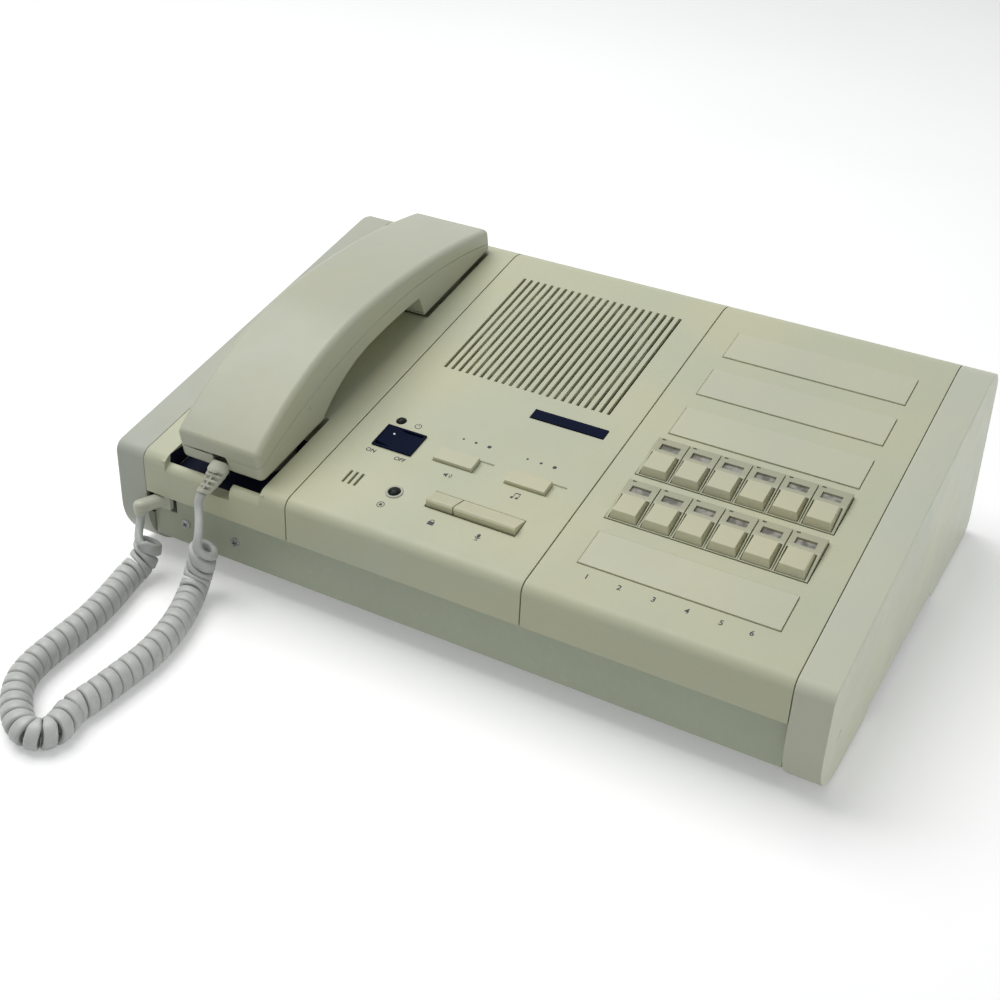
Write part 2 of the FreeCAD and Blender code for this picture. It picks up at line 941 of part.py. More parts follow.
def cover(label, left, width):
    body = slope_body(label)
    clear = seam / 2
    start = left + clear
    length = width - seam
    pad(body, "YZ", [cover_outline()], start, length)
    round_edges(body, size("front_round"), runs_along_x_at(0, 0))
    round_edges(body, size("rear_round"), runs_along_x_at(slope_length, 0))
    inner_front = wall * (1 - sine) / cosine
    round_edges(body, size("front_round") - wall, runs_along_x_at(inner_front, -wall))
    round_edges(body, size("rear_round") - wall, runs_along_x_at(slope_length - wall, -wall))
    rib = size("rib_thickness")
    pad(body, "YZ", [end_rib_outline()], start, rib)
    pad(body, "YZ", [end_rib_outline()], start + length - rib, rib)
    return body


# Cradle module

def ledge_cut_outline():
    """Side view of what is cut away over the ledge, which leaves its front edge rounded."""
    bend = size("lip_round")
    top = -size("lip_depth")
    centre_v = (bend * (1 - sine) + top * sine) / cosine
    touch_v = centre_v - bend * cosine
    touch_n = top - bend + bend * sine
    clear = size("lip_thickness") + wall / 5
    return [
        (-wall * 4, touch_n),
        (touch_v, touch_n, bend, -1),
        (centre_v, top),
        (clear, top),
        (clear, wall),
        (-wall * 4, wall),
    ]


def cradle_cover():
    body = cover("cradle_cover", cradle_left, size("cradle_width"))
    well_width = size("well_width")
    shell = size("well_wall")
    lip = size("lip_thickness")
    deep = size("front_well_depth")
    tub = rectangle(well_left - shell, 0, well_width + shell * 2, lip + size("front_well_length") + shell)
    pad(body, "XY", [tub], -(deep + shell), deep + shell - wall / 2)
    rear_deep = size("rear_well_depth")
    rear_start = size("rear_well_start")
    rear_tub = rectangle(
        well_left - shell, rear_start - shell, well_width + shell * 2, size("rear_well_length") + shell * 2)
    pad(body, "XY", [rear_tub], -(rear_deep + shell), rear_deep + shell - wall / 2)
    front_well = rectangle(well_left, lip, well_width, size("front_well_length"))
    pocket(body, "XY", [front_well], -deep, deep + 1)
    rear_well = rectangle(well_left, rear_start, well_width, size("rear_well_length"))
    pocket(body, "XY", [rear_well], -rear_deep, rear_deep + 1)
    pocket(body, "YZ", [ledge_cut_outline()], well_left, well_width)
    notch = rectangle(notch_left, -wall * 4, size("notch_width"), wall * 4 + lip + 0.5)
    pocket(body, "XY", [notch], -deep, deep + 1)
    play = size("inner_play")
    plunger_hole = rectangle(
        handset_centre - size("plunger_length") / 2 - play,
        size("plunger_centre") - size("plunger_width") / 2 - play,
        size("plunger_length") + play * 2,
        size("plunger_width") + play * 2)
    pocket(body, "XY", [plunger_hole], -(rear_deep + shell + 1), shell + 2)
    return body


cradle_cover()


# Hook switch: the earpiece holds the plunger down, and lifting it lets the plunger rise

ear_disc_bottom = -(size("rear_well_depth") - size("seat_gap"))
mouth_disc_bottom = -(size("front_well_depth") - size("seat_gap"))
plunger_top = ear_disc_bottom - size("plunger_play")


def hook_plunger():
    body = slope_body("hook_plunger", handset_centre, size("plunger_centre"), plunger_top)
    length = size("plunger_length")
    width = size("plunger_width")
    pad(body, "XY", [rectangle(-length / 2, -width / 2, length, width)], -size("plunger_below"),
        size("plunger_below"))
    collar = size("plunger_collar")
    under = size("well_wall") + size("hook_travel") + size("seat_gap") * 2
    pad(body, "XY", [rectangle(-length / 2 - collar, -width / 2 - collar, length + collar * 2,
                               width + collar * 2)], -under - collar, collar)
    return body


hook_plunger()


def hook_switch():
    """Leaf switch body that the plunger dips into."""
    play = size("inner_play")
    top = plunger_top - size("well_wall") - size("hook_travel") - size("seat_gap") * 2
    top = top - size("plunger_collar") - play
    body = slope_body("hook_switch", handset_centre, size("plunger_centre"), top)
    length = size("hook_body_length")
    width = size("hook_body_width")
    height = size("hook_body_height")
    pad(body, "XY", [rectangle(-length / 2, -width / 2, length, width)], -height, height)
    bore = rectangle(-size("plunger_length") / 2 - play, -size("plunger_width") / 2 - play,
                     size("plunger_length") + play * 2, size("plunger_width") + play * 2)
    pocket(body, "XY", [bore], -height + 1.5, height)
    ear = size("hook_ear")
    rise = -(size("rear_well_depth") + size("well_wall")) - top
    ears = [rectangle(end, -width / 2, ear, width) for end in (-length / 2, length / 2 - ear)]
    pad(body, "XY", ears, 0, rise)
    return body


hook_switch()


# Handset: two shells that meet along one long curve

def handset_outline(inset):
    """Side view of the handset, inset by a wall where one is given."""
    inset = as_size(inset)
    front = size("handset_start") + inset
    back = size("handset_start") + size("handset_length") - inset
    base = size("handset_base") + inset
    block_front = size("rear_block_start") + inset
    step = size("rear_step_place") + inset
    block_back = size("front_block_end") - inset
    return [
        (front, size("front_top_height") - inset * 0.5, size("front_top_radius") - inset, -1),
        (size("crest_place"), size("crest_height") - inset, size("rear_top_radius") - inset, -1),
        (back, size("rear_top_height") - inset * 1.4),
        (back, base),
        (block_front, base),
        (step, size("rear_step_height") + inset, size("arch_rear_radius") + inset, 1),
        (size("arch_crest"), size("arch_height") + inset, size("arch_front_radius") + inset, 1),
        (block_back, base + size("handset_lower_round") * 1.1),
        (block_back, base),
        (front, base),
    ]


def split_region(above):
    """Everything above or below the parting curve of the two shells."""
    start = size("handset_start")
    back = start + size("handset_length")
    far = size("crest_height") + 10
    deep = -size("front_well_depth") - 4
    over = size("handset_wall") + 2
    edge = far if above else deep
    front_high = size("front_split_height")
    back_high = size("rear_split_height")
    return [
        (start - over, front_high),
        (start, front_high, size("split_radius"), -1),
        (back, back_high),
        (back + over, back_high),
        (back + over, edge),
        (start - over, edge),
    ]


def mid_pad(body, loops, width, cut=False):
    """A profile of the YZ plane given equal material, or an equal cut, to both sides."""
    sketch = new_sketch(body, "YZ", 0)
    fill_sketch(sketch, loops)
    kind = "PartDesign::Pocket" if cut else "PartDesign::Pad"
    feature = body.newObject(kind, body.Label + "_middle")
    feature.Profile = sketch
    bind(feature, "Length", width)
    feature.SideType = "Symmetric"
    return feature


def handset_solid(body):
    """Outer form of the whole handset, with its rounded edges."""
    width = size("handset_width")
    mid_pad(body, [handset_outline(0)], width)
    front = size("handset_start").value
    back = front + size("handset_length").value
    crest = size("crest_place").value
    base = size("handset_base").value

    def upper(edge):
        box = edge.BoundBox
        centre = box.Center
        at_end = near(centre.y, front) or near(centre.y, back)
        upright = box.XLength < 0.01 and box.YLength < 0.01 and at_end
        end_bar = box.XLength > 40 and centre.z > 12 and (near(centre.y, front) or near(centre.y, back))
        top_arc = box.XLength < 0.01 and box.ZMax > 20 and box.YLength > 60
        return upright or end_bar or (top_arc and centre.z > 20 and abs(centre.x) > 20)

    round_edges(body, size("handset_round"), upper)

    def lower(edge):
        box = edge.BoundBox
        return box.ZMax < base + 0.01 and box.ZLength < 0.01
    round_edges(body, size("handset_lower_round"), lower)


def slanted_turn(body, outline, from_point, to_point, groove):
    """A turn in the YZ plane about the straight line through two named places."""
    sketch = new_sketch(body, "YZ", 0)
    add_outline(sketch, outline)
    line = sketch.GeometryCount
    ends = [Vector(p[0].value, p[1].value, 0) for p in (from_point, to_point)]
    sketch.addGeometry(Part.LineSegment(ends[0], ends[1]), True)
    for end, place in ((1, from_point), (2, to_point)):
        for axis, number in (("DistanceX", place[0]), ("DistanceY", place[1])):
            index = sketch.addConstraint(Sketcher.Constraint(axis, -1, 1, line, end, number.value))
            bind(sketch, "Constraints[%d]" % index, number)
    kind = "PartDesign::Groove" if groove else "PartDesign::Revolution"
    feature = body.newObject(kind, body.Label + "_slanted")
    feature.Profile = sketch
    feature.ReferenceAxis = (sketch, ["Axis0"])
    feature.Angle = 360
    return feature


def relief_hole(body):
    """Slanted hole for the strain relief through the lower front corner of the shell."""
    down = cos_of(size("relief_angle"))
    forward = sin_of(size("relief_angle"))
    radius = size("relief_diameter") / 2 + size("lever_bore_play")
    root_v = size("relief_root_v")
    root_n = size("relief_root_n")
    reach = size("relief_length")
    near_v = root_v + forward * 2
    near_n = root_n + down * 2
    far_v = root_v - forward * reach
    far_n = root_n - down * reach
    across_v = down * radius
    across_n = forward * radius
    outline = [
        (near_v, near_n),
        (far_v, far_n),
        (far_v - across_v, far_n + across_n),
        (near_v - across_v, near_n + across_n),
    ]
    slanted_turn(body, outline, (near_v, near_n), (far_v, far_n), True)


def handset_upper():
    body = slope_body("handset_upper_shell", handset_centre)
    handset_solid(body)
    width = size("handset_width")
    mid_pad(body, [split_region(False)], width + 4, cut=True)
    shell = size("handset_wall")
    mid_pad(body, [handset_outline(shell)], width - shell * 2, cut=True)
    return body


def handset_lower():
    body = slope_body("handset_lower_shell", handset_centre)
    handset_solid(body)
    width = size("handset_width")
    mid_pad(body, [split_region(True)], width + 4, cut=True)
    shell = size("handset_wall")
    mid_pad(body, [handset_outline(shell)], width - shell * 2, cut=True)
    relief_hole(body)
    inside = size("handset_base") + shell
    disc = size("disc_wall")
    seats = (
        (size("mouth_centre"), size("cap_disc_mouth"), mouth_disc_bottom, size("capsule_mouth")),
        (size("ear_centre"), size("cap_disc_ear"), ear_disc_bottom, size("capsule_ear")),
    )
    for centre, diameter, bottom, capsule in seats:
        pad(body, "XY", [circle(0, centre, diameter)], bottom, inside - bottom - shell / 2)
        pocket(body, "XY", [circle(0, centre, capsule + size("lever_bore_play") * 2)],
               bottom + disc, inside - bottom)
        pitch = size("sound_slot_pitch")
        slots = []
        for step in (-1, 0, 1):
            slots.append(rectangle(
                -size("sound_slot_length") / 2, centre + pitch * step - size("sound_slot_width") / 2,
                size("sound_slot_length"), size("sound_slot_width")))
        pocket(body, "XY", slots, bottom - 1, disc + 2)
    return body


handset_upper()
handset_lower()


def capsule(label, centre, bottom, diameter):
    """Sound capsule seated on the floor of its disc."""
    body = slope_body(label, handset_centre, centre, bottom + size("disc_wall"))
    height = size("capsule_height")
    revolve(body, [
        (as_size(0), as_size(0)),
        (diameter / 2, as_size(0)),
        (diameter / 2, height * 0.7),
        (diameter / 2 - height * 0.3, height),
        (as_size(0), height),
    ])
    return body


capsule("handset_receiver", size("ear_centre"), ear_disc_bottom, size("capsule_ear"))
capsule("handset_transmitter", size("mouth_centre"), mouth_disc_bottom, size("capsule_mouth"))


relief_tip_v = size("relief_root_v") - sin_of(size("relief_angle")) * size("relief_length")
relief_tip_n = size("relief_root_n") - cos_of(size("relief_angle")) * size("relief_length")


def strain_relief():
    """Flat, tapered sleeve with rows of windows. Its own Z axis runs up into the handset from the tip."""
    x = handset_centre - console_width / 2
    y = relief_tip_v * cosine - relief_tip_n * sine - console_depth / 2
    z = relief_tip_v * sine + relief_tip_n * cosine + front_height
    body = new_body("handset_strain_relief", x, y, z, slope - size("relief_angle"))
    length = size("relief_length")
    tip = size("relief_tip") / 2
    root = size("relief_diameter") / 2
    window = size("relief_window")
    taper = length * 0.75
    revolve(body, [
        (as_size(0), as_size(0)),
        (tip - window / 4, as_size(0)),
        (tip, window / 4),
        (root, taper),
        (root, length - window / 2),
        (root - window / 2, length),
        (as_size(0), length),
    ])
    half = size("relief_flat") / 2
    beyond = root * 2
    sides = [
        rectangle(-beyond, half, beyond * 2, beyond),
        rectangle(-beyond, -half - beyond, beyond * 2, beyond),
    ]
    pocket(body, "XY", sides, -1, taper - window + 1)
    cut = size("relief_cut")
    first = size("relief_first")
    gap = window / 2
    left_window = rectangle(-root * 2, first, root * 2 - gap / 2, window)
    right_window = rectangle(gap / 2, first, root * 2, window)
    for start in (-half - 1, half - cut):
        windows = pocket(body, "XZ", [left_window, right_window], start, cut + 1)
        row_pattern(body, windows, "Z", size("relief_windows"), size("relief_pitch"))
    return body


strain_relief()


# Speaker module

def bezel_opening():
    """Opening in the cover for the body of the power switch."""
    inset = size("bezel_wall") - size("badge_play")
    inset = inset * 0.3
    return rectangle(
        rocker_left + inset, size("bezel_front") + inset,
        size("bezel_width") - inset * 2, size("bezel_length") - inset * 2)


def lever_span():
    """Left edge and full width of the lock and talk keys."""
    left = lock_left
    width = size("lock_width") + size("talk_width")
    return left, width


def speaker_cover():
    body = cover("speaker_cover", speaker_left, size("speaker_width"))
    slot = rectangle(grille_left, size("grille_front"), size("slot_width"), size("grille_length"))
    first = pocket(body, "XY", [slot], -wall - 1, wall + 2)
    row_pattern(body, first, "X", size("slot_count"), size("grille_pitch"))
    badge = rectangle(badge_left, size("badge_front"), size("badge_width"), size("badge_length"))
    pocket(body, "XY", [badge], -size("badge_depth"), size("badge_depth") + 1)
    lamp_holes = [
        circle(power_lamp_u, size("power_lamp_v"), size("power_lamp_diameter") + size("lamp_play") * 2),
        circle(busy_lamp_u, size("busy_lamp_v"), size("busy_lamp_diameter") + size("lamp_play") * 2
               + size("bezel_wall") * 2),
        bezel_opening(),
    ]
    play = size("slide_play")
    for index in range(3):
        left = mic_slot_u + size("mic_slot_pitch") * index - size("mic_slot_width") / 2
        lamp_holes.append(rectangle(left, size("mic_slot_front"), size("mic_slot_width"),
                                    size("mic_slot_length")))
    lever_left, lever_width = lever_span()
    lever_hole = rectangle(
        lever_left - size("lever_play"), size("lever_front") - size("lever_front_play"),
        lever_width + size("lever_play") * 2,
        size("lever_cap_length") + size("lever_front_play") + size("lever_play"))
    lamp_holes.append(lever_hole)
    pocket(body, "XY", lamp_holes, -wall - 1, wall + 2)
    recesses = []
    slots = []
    for left in (voice_left, tone_left):
        recesses.append(rectangle(
            left - play, size("slide_front") - play,
            size("slide_cap_width") + size("slide_travel") + play * 2, size("slide_cap_length") + play * 2))
        stem_left = left + (size("slide_cap_width") - size("stem_width")) / 2 - play
        stem_front = size("slide_front") + (size("slide_cap_length") - size("stem_length")) / 2 - play
        slots.append(rectangle(stem_left, stem_front, size("stem_width") + size("slide_travel") + play * 2,
                               size("stem_length") + play * 2))
    pocket(body, "XY", recesses, -size("slide_recess"), size("slide_recess") + 1)
    pocket(body, "XY", slots, -wall - 1, wall + 2)
    pivot_v = size("lever_pivot_v")
    bracket = size("bracket_width")
    brackets = []
    for left in (lever_left - bracket - size("lever_play"), lever_left + lever_width + size("lever_play")):
        brackets.append(rectangle(left, pivot_v - bracket, bracket, bracket * 2))
    pad(body, "XY", brackets, -size("bracket_drop"), size("bracket_drop") - wall)
    pin_hole = circle(pivot_v, -size("lever_hub"), size("lever_pin") + size("lever_bore_play") * 2)
    pocket(body, "YZ", [pin_hole], lever_left - bracket * 3, lever_width + bracket * 6)
    mic_u = mic_slot_u + size("mic_slot_pitch")
    mic_v = size("mic_slot_front") + size("mic_slot_length") / 2
    boot = size("mic_diameter") + size("boot_wall") * 2
    pad(body, "XY", [circle(mic_u, mic_v, boot)], -wall - size("mic_height"), size("mic_height"))
    pocket(body, "XY", [circle(mic_u, mic_v, size("mic_diameter") + size("lever_bore_play") * 2)],
           -wall - size("mic_height") - 1, size("mic_height") + 1)
    for index in range(3):
        left = mic_slot_u + size("mic_slot_pitch") * index - size("mic_slot_width") / 2
        pocket(body, "XY", [rectangle(left, size("mic_slot_front"), size("mic_slot_width"),
                                      size("mic_slot_length"))], -wall - 1, wall + 2)
    posts = []
    inset = size("post_diameter") / 2 + 1
    board_left = front_board_left
    board_front = size("front_board_front")
    for u in (board_left + inset, board_left + front_board_width - inset):
        posts.append(circle(u, board_front + inset, size("post_diameter")))
    pad(body, "XY", posts, front_board_top, -wall - front_board_top)
    clamp_bosses = []
    for sign_u in (-1, 1):
        for sign_v in (-1, 1):
            clamp_bosses.append(circle(speaker_u + clamp_reach * sign_u, speaker_v + clamp_reach * sign_v,
                                       size("post_diameter")))
    pad(body, "XY", clamp_bosses, -wall - size("basket_sheet"), size("basket_sheet"))
    return body


lever_foot = -(size("lever_skirt") + size("lever_arm"))
front_board_top = lever_foot - size("lever_travel") - size("lever_switch_height")
speaker_u = grille_left + (size("grille_pitch") * (size("slot_count") - 1) + size("slot_width")) / 2
speaker_v = size("grille_front") + size("grille_length") / 2
clamp_reach = (size("speaker_diameter") / 2 + size("post_diameter") / 2 + 0.6) * cos_of(45)
speaker_cover()


def speaker_driver():
    top = -wall
    frame = slope_body("speaker_frame", speaker_u, speaker_v, top)
    edge = size("speaker_diameter") / 2
    inner = size("cone_edge") / 2 + 0.5
    metal = size("basket_sheet")
    neck = size("basket_neck")
    floor = size("basket_floor") / 2
    deep = size("speaker_depth") - size("magnet_height")
    revolve(frame, [
        (inner, as_size(0)),
        (edge, as_size(0)),
        (edge, -metal),
        (neck, -metal),
        (floor, -deep),
        (as_size(0), -deep),
        (as_size(0), metal - deep),
        (floor - metal / 2, metal - deep),
        (inner, metal * 0.2 - metal),
    ])
    cone = slope_body("speaker_cone", speaker_u, speaker_v, top)
    dome = size("dome_diameter") / 2
    thick = size("cone_thickness")
    depth = size("cone_depth")
    revolve(cone, [
        (inner, -thick * 0.2),
        (inner, -thick * 1.2),
        (inner - thick * 2, -thick * 1.4),
        (dome, -depth),
        (as_size(0), thick * 4 - depth),
        (as_size(0), thick * 5 - depth),
        (dome, thick - depth),
        (inner - thick * 2, -thick * 0.4),
    ])
    magnet = slope_body("speaker_magnet", speaker_u, speaker_v, top - deep)
    height = size("magnet_height")
    rim = size("magnet_diameter") / 2
    revolve(magnet, [
        (as_size(0), as_size(0)),
        (floor, as_size(0)),
        (floor, -metal * 2),
        (rim, -metal * 2),
        (rim, metal * 2 - height),
        (floor, metal * 2 - height),
        (floor, -height),
        (as_size(0), -height),
    ])
    clamps = slope_body("speaker_clamps", speaker_u, speaker_v, top - metal)
    plates = []
    length = size("clamp_length")
    width = size("clamp_width")
    for sign_u in (-1, 1):
        for sign_v in (-1, 1):
            middle_u = clamp_reach * sign_u
            middle_v = clamp_reach * sign_v
            plates.append(rectangle(middle_u - length / 2, middle_v - width / 2, length, width))
    pad(clamps, "XY", plates, -size("clamp_sheet"), size("clamp_sheet"))
    heads = []
    for sign_u in (-1, 1):
        for sign_v in (-1, 1):
            heads.append(circle(clamp_reach * sign_u, clamp_reach * sign_v, size("screw_head")))
    pad(clamps, "XY", heads, -size("clamp_sheet") - size("screw_head_height"), size("screw_head_height"))


speaker_driver()


def badge():
    play = size("badge_play")
    body = slope_body("badge_plate", badge_left + play, size("badge_front") + play, -size("badge_depth"))
    plate = rectangle(0, 0, size("badge_width") - play * 2, size("badge_length") - play * 2)
    pad(body, "XY", [plate], 0, size("badge_depth") + size("badge_proud"))


badge()


# Power rocker

def power_switch():
    width = size("bezel_width")
    length = size("bezel_length")
    rim = size("bezel_wall")
    body = slope_body("power_switch_body", rocker_left, size("bezel_front"))
    inset = (rim - size("badge_play")) * 0.3
    inner = inset + size("badge_play")
    pad(body, "XY", [rectangle(0, 0, width, length)], 0, size("bezel_proud"))
    shank = rectangle(inner, inner, width - inner * 2, length - inner * 2)
    pad(body, "XY", [shank], -size("switch_depth"), size("switch_depth"))
    opening = rectangle(rim, rim, width - rim * 2, length - rim * 2)
    floor = size("rocker_pivot_depth") + size("rocker_skirt") + 4
    pocket(body, "XY", [opening], -floor, floor + size("bezel_proud") + 1)
    pin = size("rocker_pin") + size("lever_bore_play") * 2
    pocket(body, "XZ", [circle(width / 2, -size("rocker_pivot_depth"), pin)], -1, length + 2)


power_switch()


def power_rocker():
    """Rocker at rest in its off position, its right half pressed down."""
    pivot_u = rocker_left + size("bezel_width") / 2
    pivot_v = size("bezel_front")
    body = slope_body("power_rocker", pivot_u, pivot_v, -size("rocker_pivot_depth"))
    half = size("bezel_width") / 2 - size("bezel_wall") - size("rocker_play") * 2.2
    top = size("rocker_pivot_depth") + size("rocker_rise")
    dish = top - size("rocker_dish")
    low = -size("rocker_skirt") / 2
    tilt = size("rocker_tilt")
    outline = []
    for x, z in ((half, low), (half, top), (as_size(0), dish), (-half, top), (-half, low),
                 (as_size(0), low - size("rocker_skirt") / 2)):
        outline.append((x * cos_of(tilt) + z * sin_of(tilt), z * cos_of(tilt) - x * sin_of(tilt)))
    rim = size("bezel_wall") + size("rocker_play")
    pad(body, "XZ", [outline], rim, size("bezel_length") - rim * 2)
    pin_length = size("bezel_length") - size("bezel_wall") * 0.8
    pad(body, "XZ", [circle(0, 0, size("rocker_pin"))], size("bezel_wall") * 0.4, pin_length)


power_rocker()


def lamp(label, u, v, diameter, flange):
    """Round lamp with a domed top, hung from its flange under the cover."""
    body = slope_body(label, u, v)
    radius = diameter / 2
    proud = size("lamp_proud")
    dome = (radius * radius + proud * proud) / (proud * 2)
    deep = size("lamp_body")
    points = [
        (as_size(0), -deep),
        (flange, -deep),
        (flange, -wall),
        (radius, -wall),
        (radius, as_size(0), dome, 1),
        (as_size(0), proud),
    ]
    revolve(body, points)
    return body


lamp("power_led", power_lamp_u, size("power_lamp_v"), size("power_lamp_diameter"),
     size("power_lamp_diameter") / 2 + 0.8)
lamp("busy_led", busy_lamp_u, size("busy_lamp_v"), size("busy_lamp_diameter"),
     size("busy_bezel_diameter") / 2 + 0.8)


def busy_bezel():
    """Ring round the busy lamp, seated in the cover."""
    body = slope_body("busy_led_bezel", busy_lamp_u, size("busy_lamp_v"))
    bore = size("busy_lamp_diameter") / 2 + size("lever_bore_play")
    sleeve = size("busy_lamp_diameter") / 2 + size("lamp_play") + size("bezel_wall") - size("lever_bore_play")
    rim = size("busy_bezel_diameter") / 2
    revolve(body, [
        (bore, -wall),
        (sleeve, -wall),
        (sleeve, as_size(0)),
        (rim, as_size(0)),
        (rim - size("busy_bezel_proud") / 2, size("busy_bezel_proud")),
        (bore, size("busy_bezel_proud")),
    ])


busy_bezel()


def microphone():
    mic_u = mic_slot_u + size("mic_slot_pitch")
    mic_v = size("mic_slot_front") + size("mic_slot_length") / 2
    body = slope_body("microphone_capsule", mic_u, mic_v, -wall)
    pad(body, "XY", [circle(0, 0, size("mic_diameter"))], -size("mic_height"), size("mic_height"))


microphone()


def slide_key(label, left):
    """Cap of a sliding key with its stem through the slot in the cover."""
    body = slope_body(label, left, size("slide_front"), -size("slide_recess") + size("slide_play") / 2)
    width = size("slide_cap_width")
    length = size("slide_cap_length")
    height = size("slide_recess") - size("slide_play") / 2 + size("slide_proud")
    pad(body, "XY", [rectangle(0, 0, width, length)], 0, height)
    stem = rectangle((width - size("stem_width")) / 2, (length - size("stem_length")) / 2,
                     size("stem_width"), size("stem_length"))
    deep = wall + size("stem_below") - size("slide_recess")
    pad(body, "XY", [stem], -deep, deep)

    def top_side(edge):
        box = edge.BoundBox
        return near(box.ZMin, height) and box.ZLength < 0.01
    round_edges(body, size("slide_cap_round"), top_side)
    return body


slide_key("voice_key", voice_left)
slide_key("tone_key", tone_left)


def slide_bodies():
    """Bodies of the two slide switches under the cover, each with a slot for its stem."""
    body = slope_body("slide_switch_bodies", 0, size("slide_front"), -wall)
    boxes = []
    slots = []
    play = size("slide_play")
    for left in (voice_left, tone_left):
        middle = left + (size("slide_cap_width") + size("slide_travel")) / 2
        boxes.append(rectangle(
            middle - size("slide_body_width") / 2, (size("slide_cap_length") - size("slide_body_length")) / 2,
            size("slide_body_width"), size("slide_body_length")))
        slots.append(rectangle(
            middle - (size("stem_width") + size("slide_travel")) / 2 - play,
            (size("slide_cap_length") - size("stem_length")) / 2 - play,
            size("stem_width") + size("slide_travel") + play * 2, size("stem_length") + play * 2))
    pad(body, "XY", boxes, -size("slide_body_height"), size("slide_body_height"))
    floor = size("stem_below") + 0.6
    pocket(body, "XY", slots, -floor, floor + 1)


slide_bodies()


def lever_key(label, left, width):
    """Pressed key that swings on a pin behind it."""
    body = slope_body(label)
    front = size("lever_front")
    back = front + size("lever_cap_length")
    skirt = size("lever_skirt")
    arm = size("lever_arm")
    pivot_v = size("lever_pivot_v")
    pivot_n = -size("lever_hub")
    hub = size("lever_boss") + 0.4
    pad(body, "YZ", [[
        (front, -skirt),
        (front + 1, -skirt - arm),
        (pivot_v, -skirt - arm),
        (pivot_v, -skirt),
        (back, -skirt),
        (back, size("lever_back_proud")),
        (front + 1.2, size("lever_proud")),
        (front, size("lever_proud") - 1),
    ]], left, width)
    pad(body, "YZ", [circle(pivot_v, pivot_n, hub * 2)], left, width)
    bore = circle(pivot_v, pivot_n, size("lever_pin") + size("lever_bore_play") * 2)
    pocket(body, "YZ", [bore], left - 1, width + 2)
    return body


half_gap = size("key_pair_gap") / 2
lever_key("lock_key", lock_left, size("lock_width") - half_gap)
lever_key("talk_key", lock_left + size("lock_width") + half_gap, size("talk_width") - half_gap)


def lever_pin():
    lever_left, lever_width = lever_span()
    bracket = size("bracket_width")
    start = lever_left - bracket - size("lever_play")
    body = slope_body("key_pivot_pin", start, size("lever_pivot_v"), -size("lever_hub"))
    pad(body, "YZ", [circle(0, 0, size("lever_pin"))], 0, lever_width + (bracket + size("lever_play")) * 2)


lever_pin()


def front_board():
    board = slope_body("front_board", front_board_left, size("front_board_front"), front_board_top)
    pad(board, "XY", [rectangle(0, 0, front_board_width, size("front_board_length"))],
        -size("board_sheet"), size("board_sheet"))
    switches = slope_body("lock_talk_switches", 0, 0, front_board_top)
    edge = size("lever_switch_size")
    boxes = []
    for middle in (lock_left + size("lock_width") / 2,
                   lock_left + size("lock_width") + size("talk_width") / 2):
        front = size("lever_front") + 2
        boxes.append(rectangle(middle - edge / 2, front, edge, edge))
    pad(switches, "XY", boxes, 0, size("lever_switch_height"))


front_board()


# Selector module

frame_width = size("frame_rim") * 2 + size("key_pitch") * (size("key_columns") - 1) + size("key_cell_width")
lens_width = size("key_cell_width") - size("lens_side") * 2
key_rows = (size("key_row_front_1"), size("key_row_front_2"))
key_drop = size("key_below") + size("key_stem_length")
switch_top = -(size("key_below") + size("key_travel") + 0.5)
board_top = switch_top - size("key_switch_height")
plate_fronts = [size("plate_front_%d" % number) for number in (1, 2, 3, 4)]


def board_corners():
    """Posts of the key board, just outside the ends of the key frames."""
    reach = size("key_board_margin") - size("post_diameter") / 2 - 0.4
    left = frame_left - reach
    right = frame_left + frame_width + reach
    front = key_rows[1] + size("post_diameter")
    back = key_rows[0] + size("frame_length") - size("post_diameter")
    return [(left, front), (right, front), (left, back), (right, back)]


def selector_cover():
    body = cover("selector_cover", selector_left, size("selector_width"))
    play = size("plate_play")
    openings = []
    for front in key_rows:
        openings.append(rectangle(frame_left - play, front - play, frame_width + play * 2,
                                  size("frame_length") + play * 2))
    pocket(body, "XY", openings, -wall - 1, wall + 2)
    recesses = []
    for front in plate_fronts:
        recesses.append(rectangle(plate_left, front, size("plate_width"), size("plate_length")))
    pocket(body, "XY", recesses, -size("plate_depth"), size("plate_depth") + 1)
    posts = [circle(u, v, size("post_diameter")) for u, v in board_corners()]
    pad(body, "XY", posts, board_top, -wall - board_top)
    return body


selector_cover()


def name_plates():
    play = size("plate_play")
    body = slope_body("name_plates", plate_left + play, play, -size("plate_depth"))
    plates = []
    for front in plate_fronts:
        plates.append(rectangle(0, front, size("plate_width") - play * 2, size("plate_length") - play * 2))
    pad(body, "XY", plates, 0, size("plate_sheet"))


name_plates()


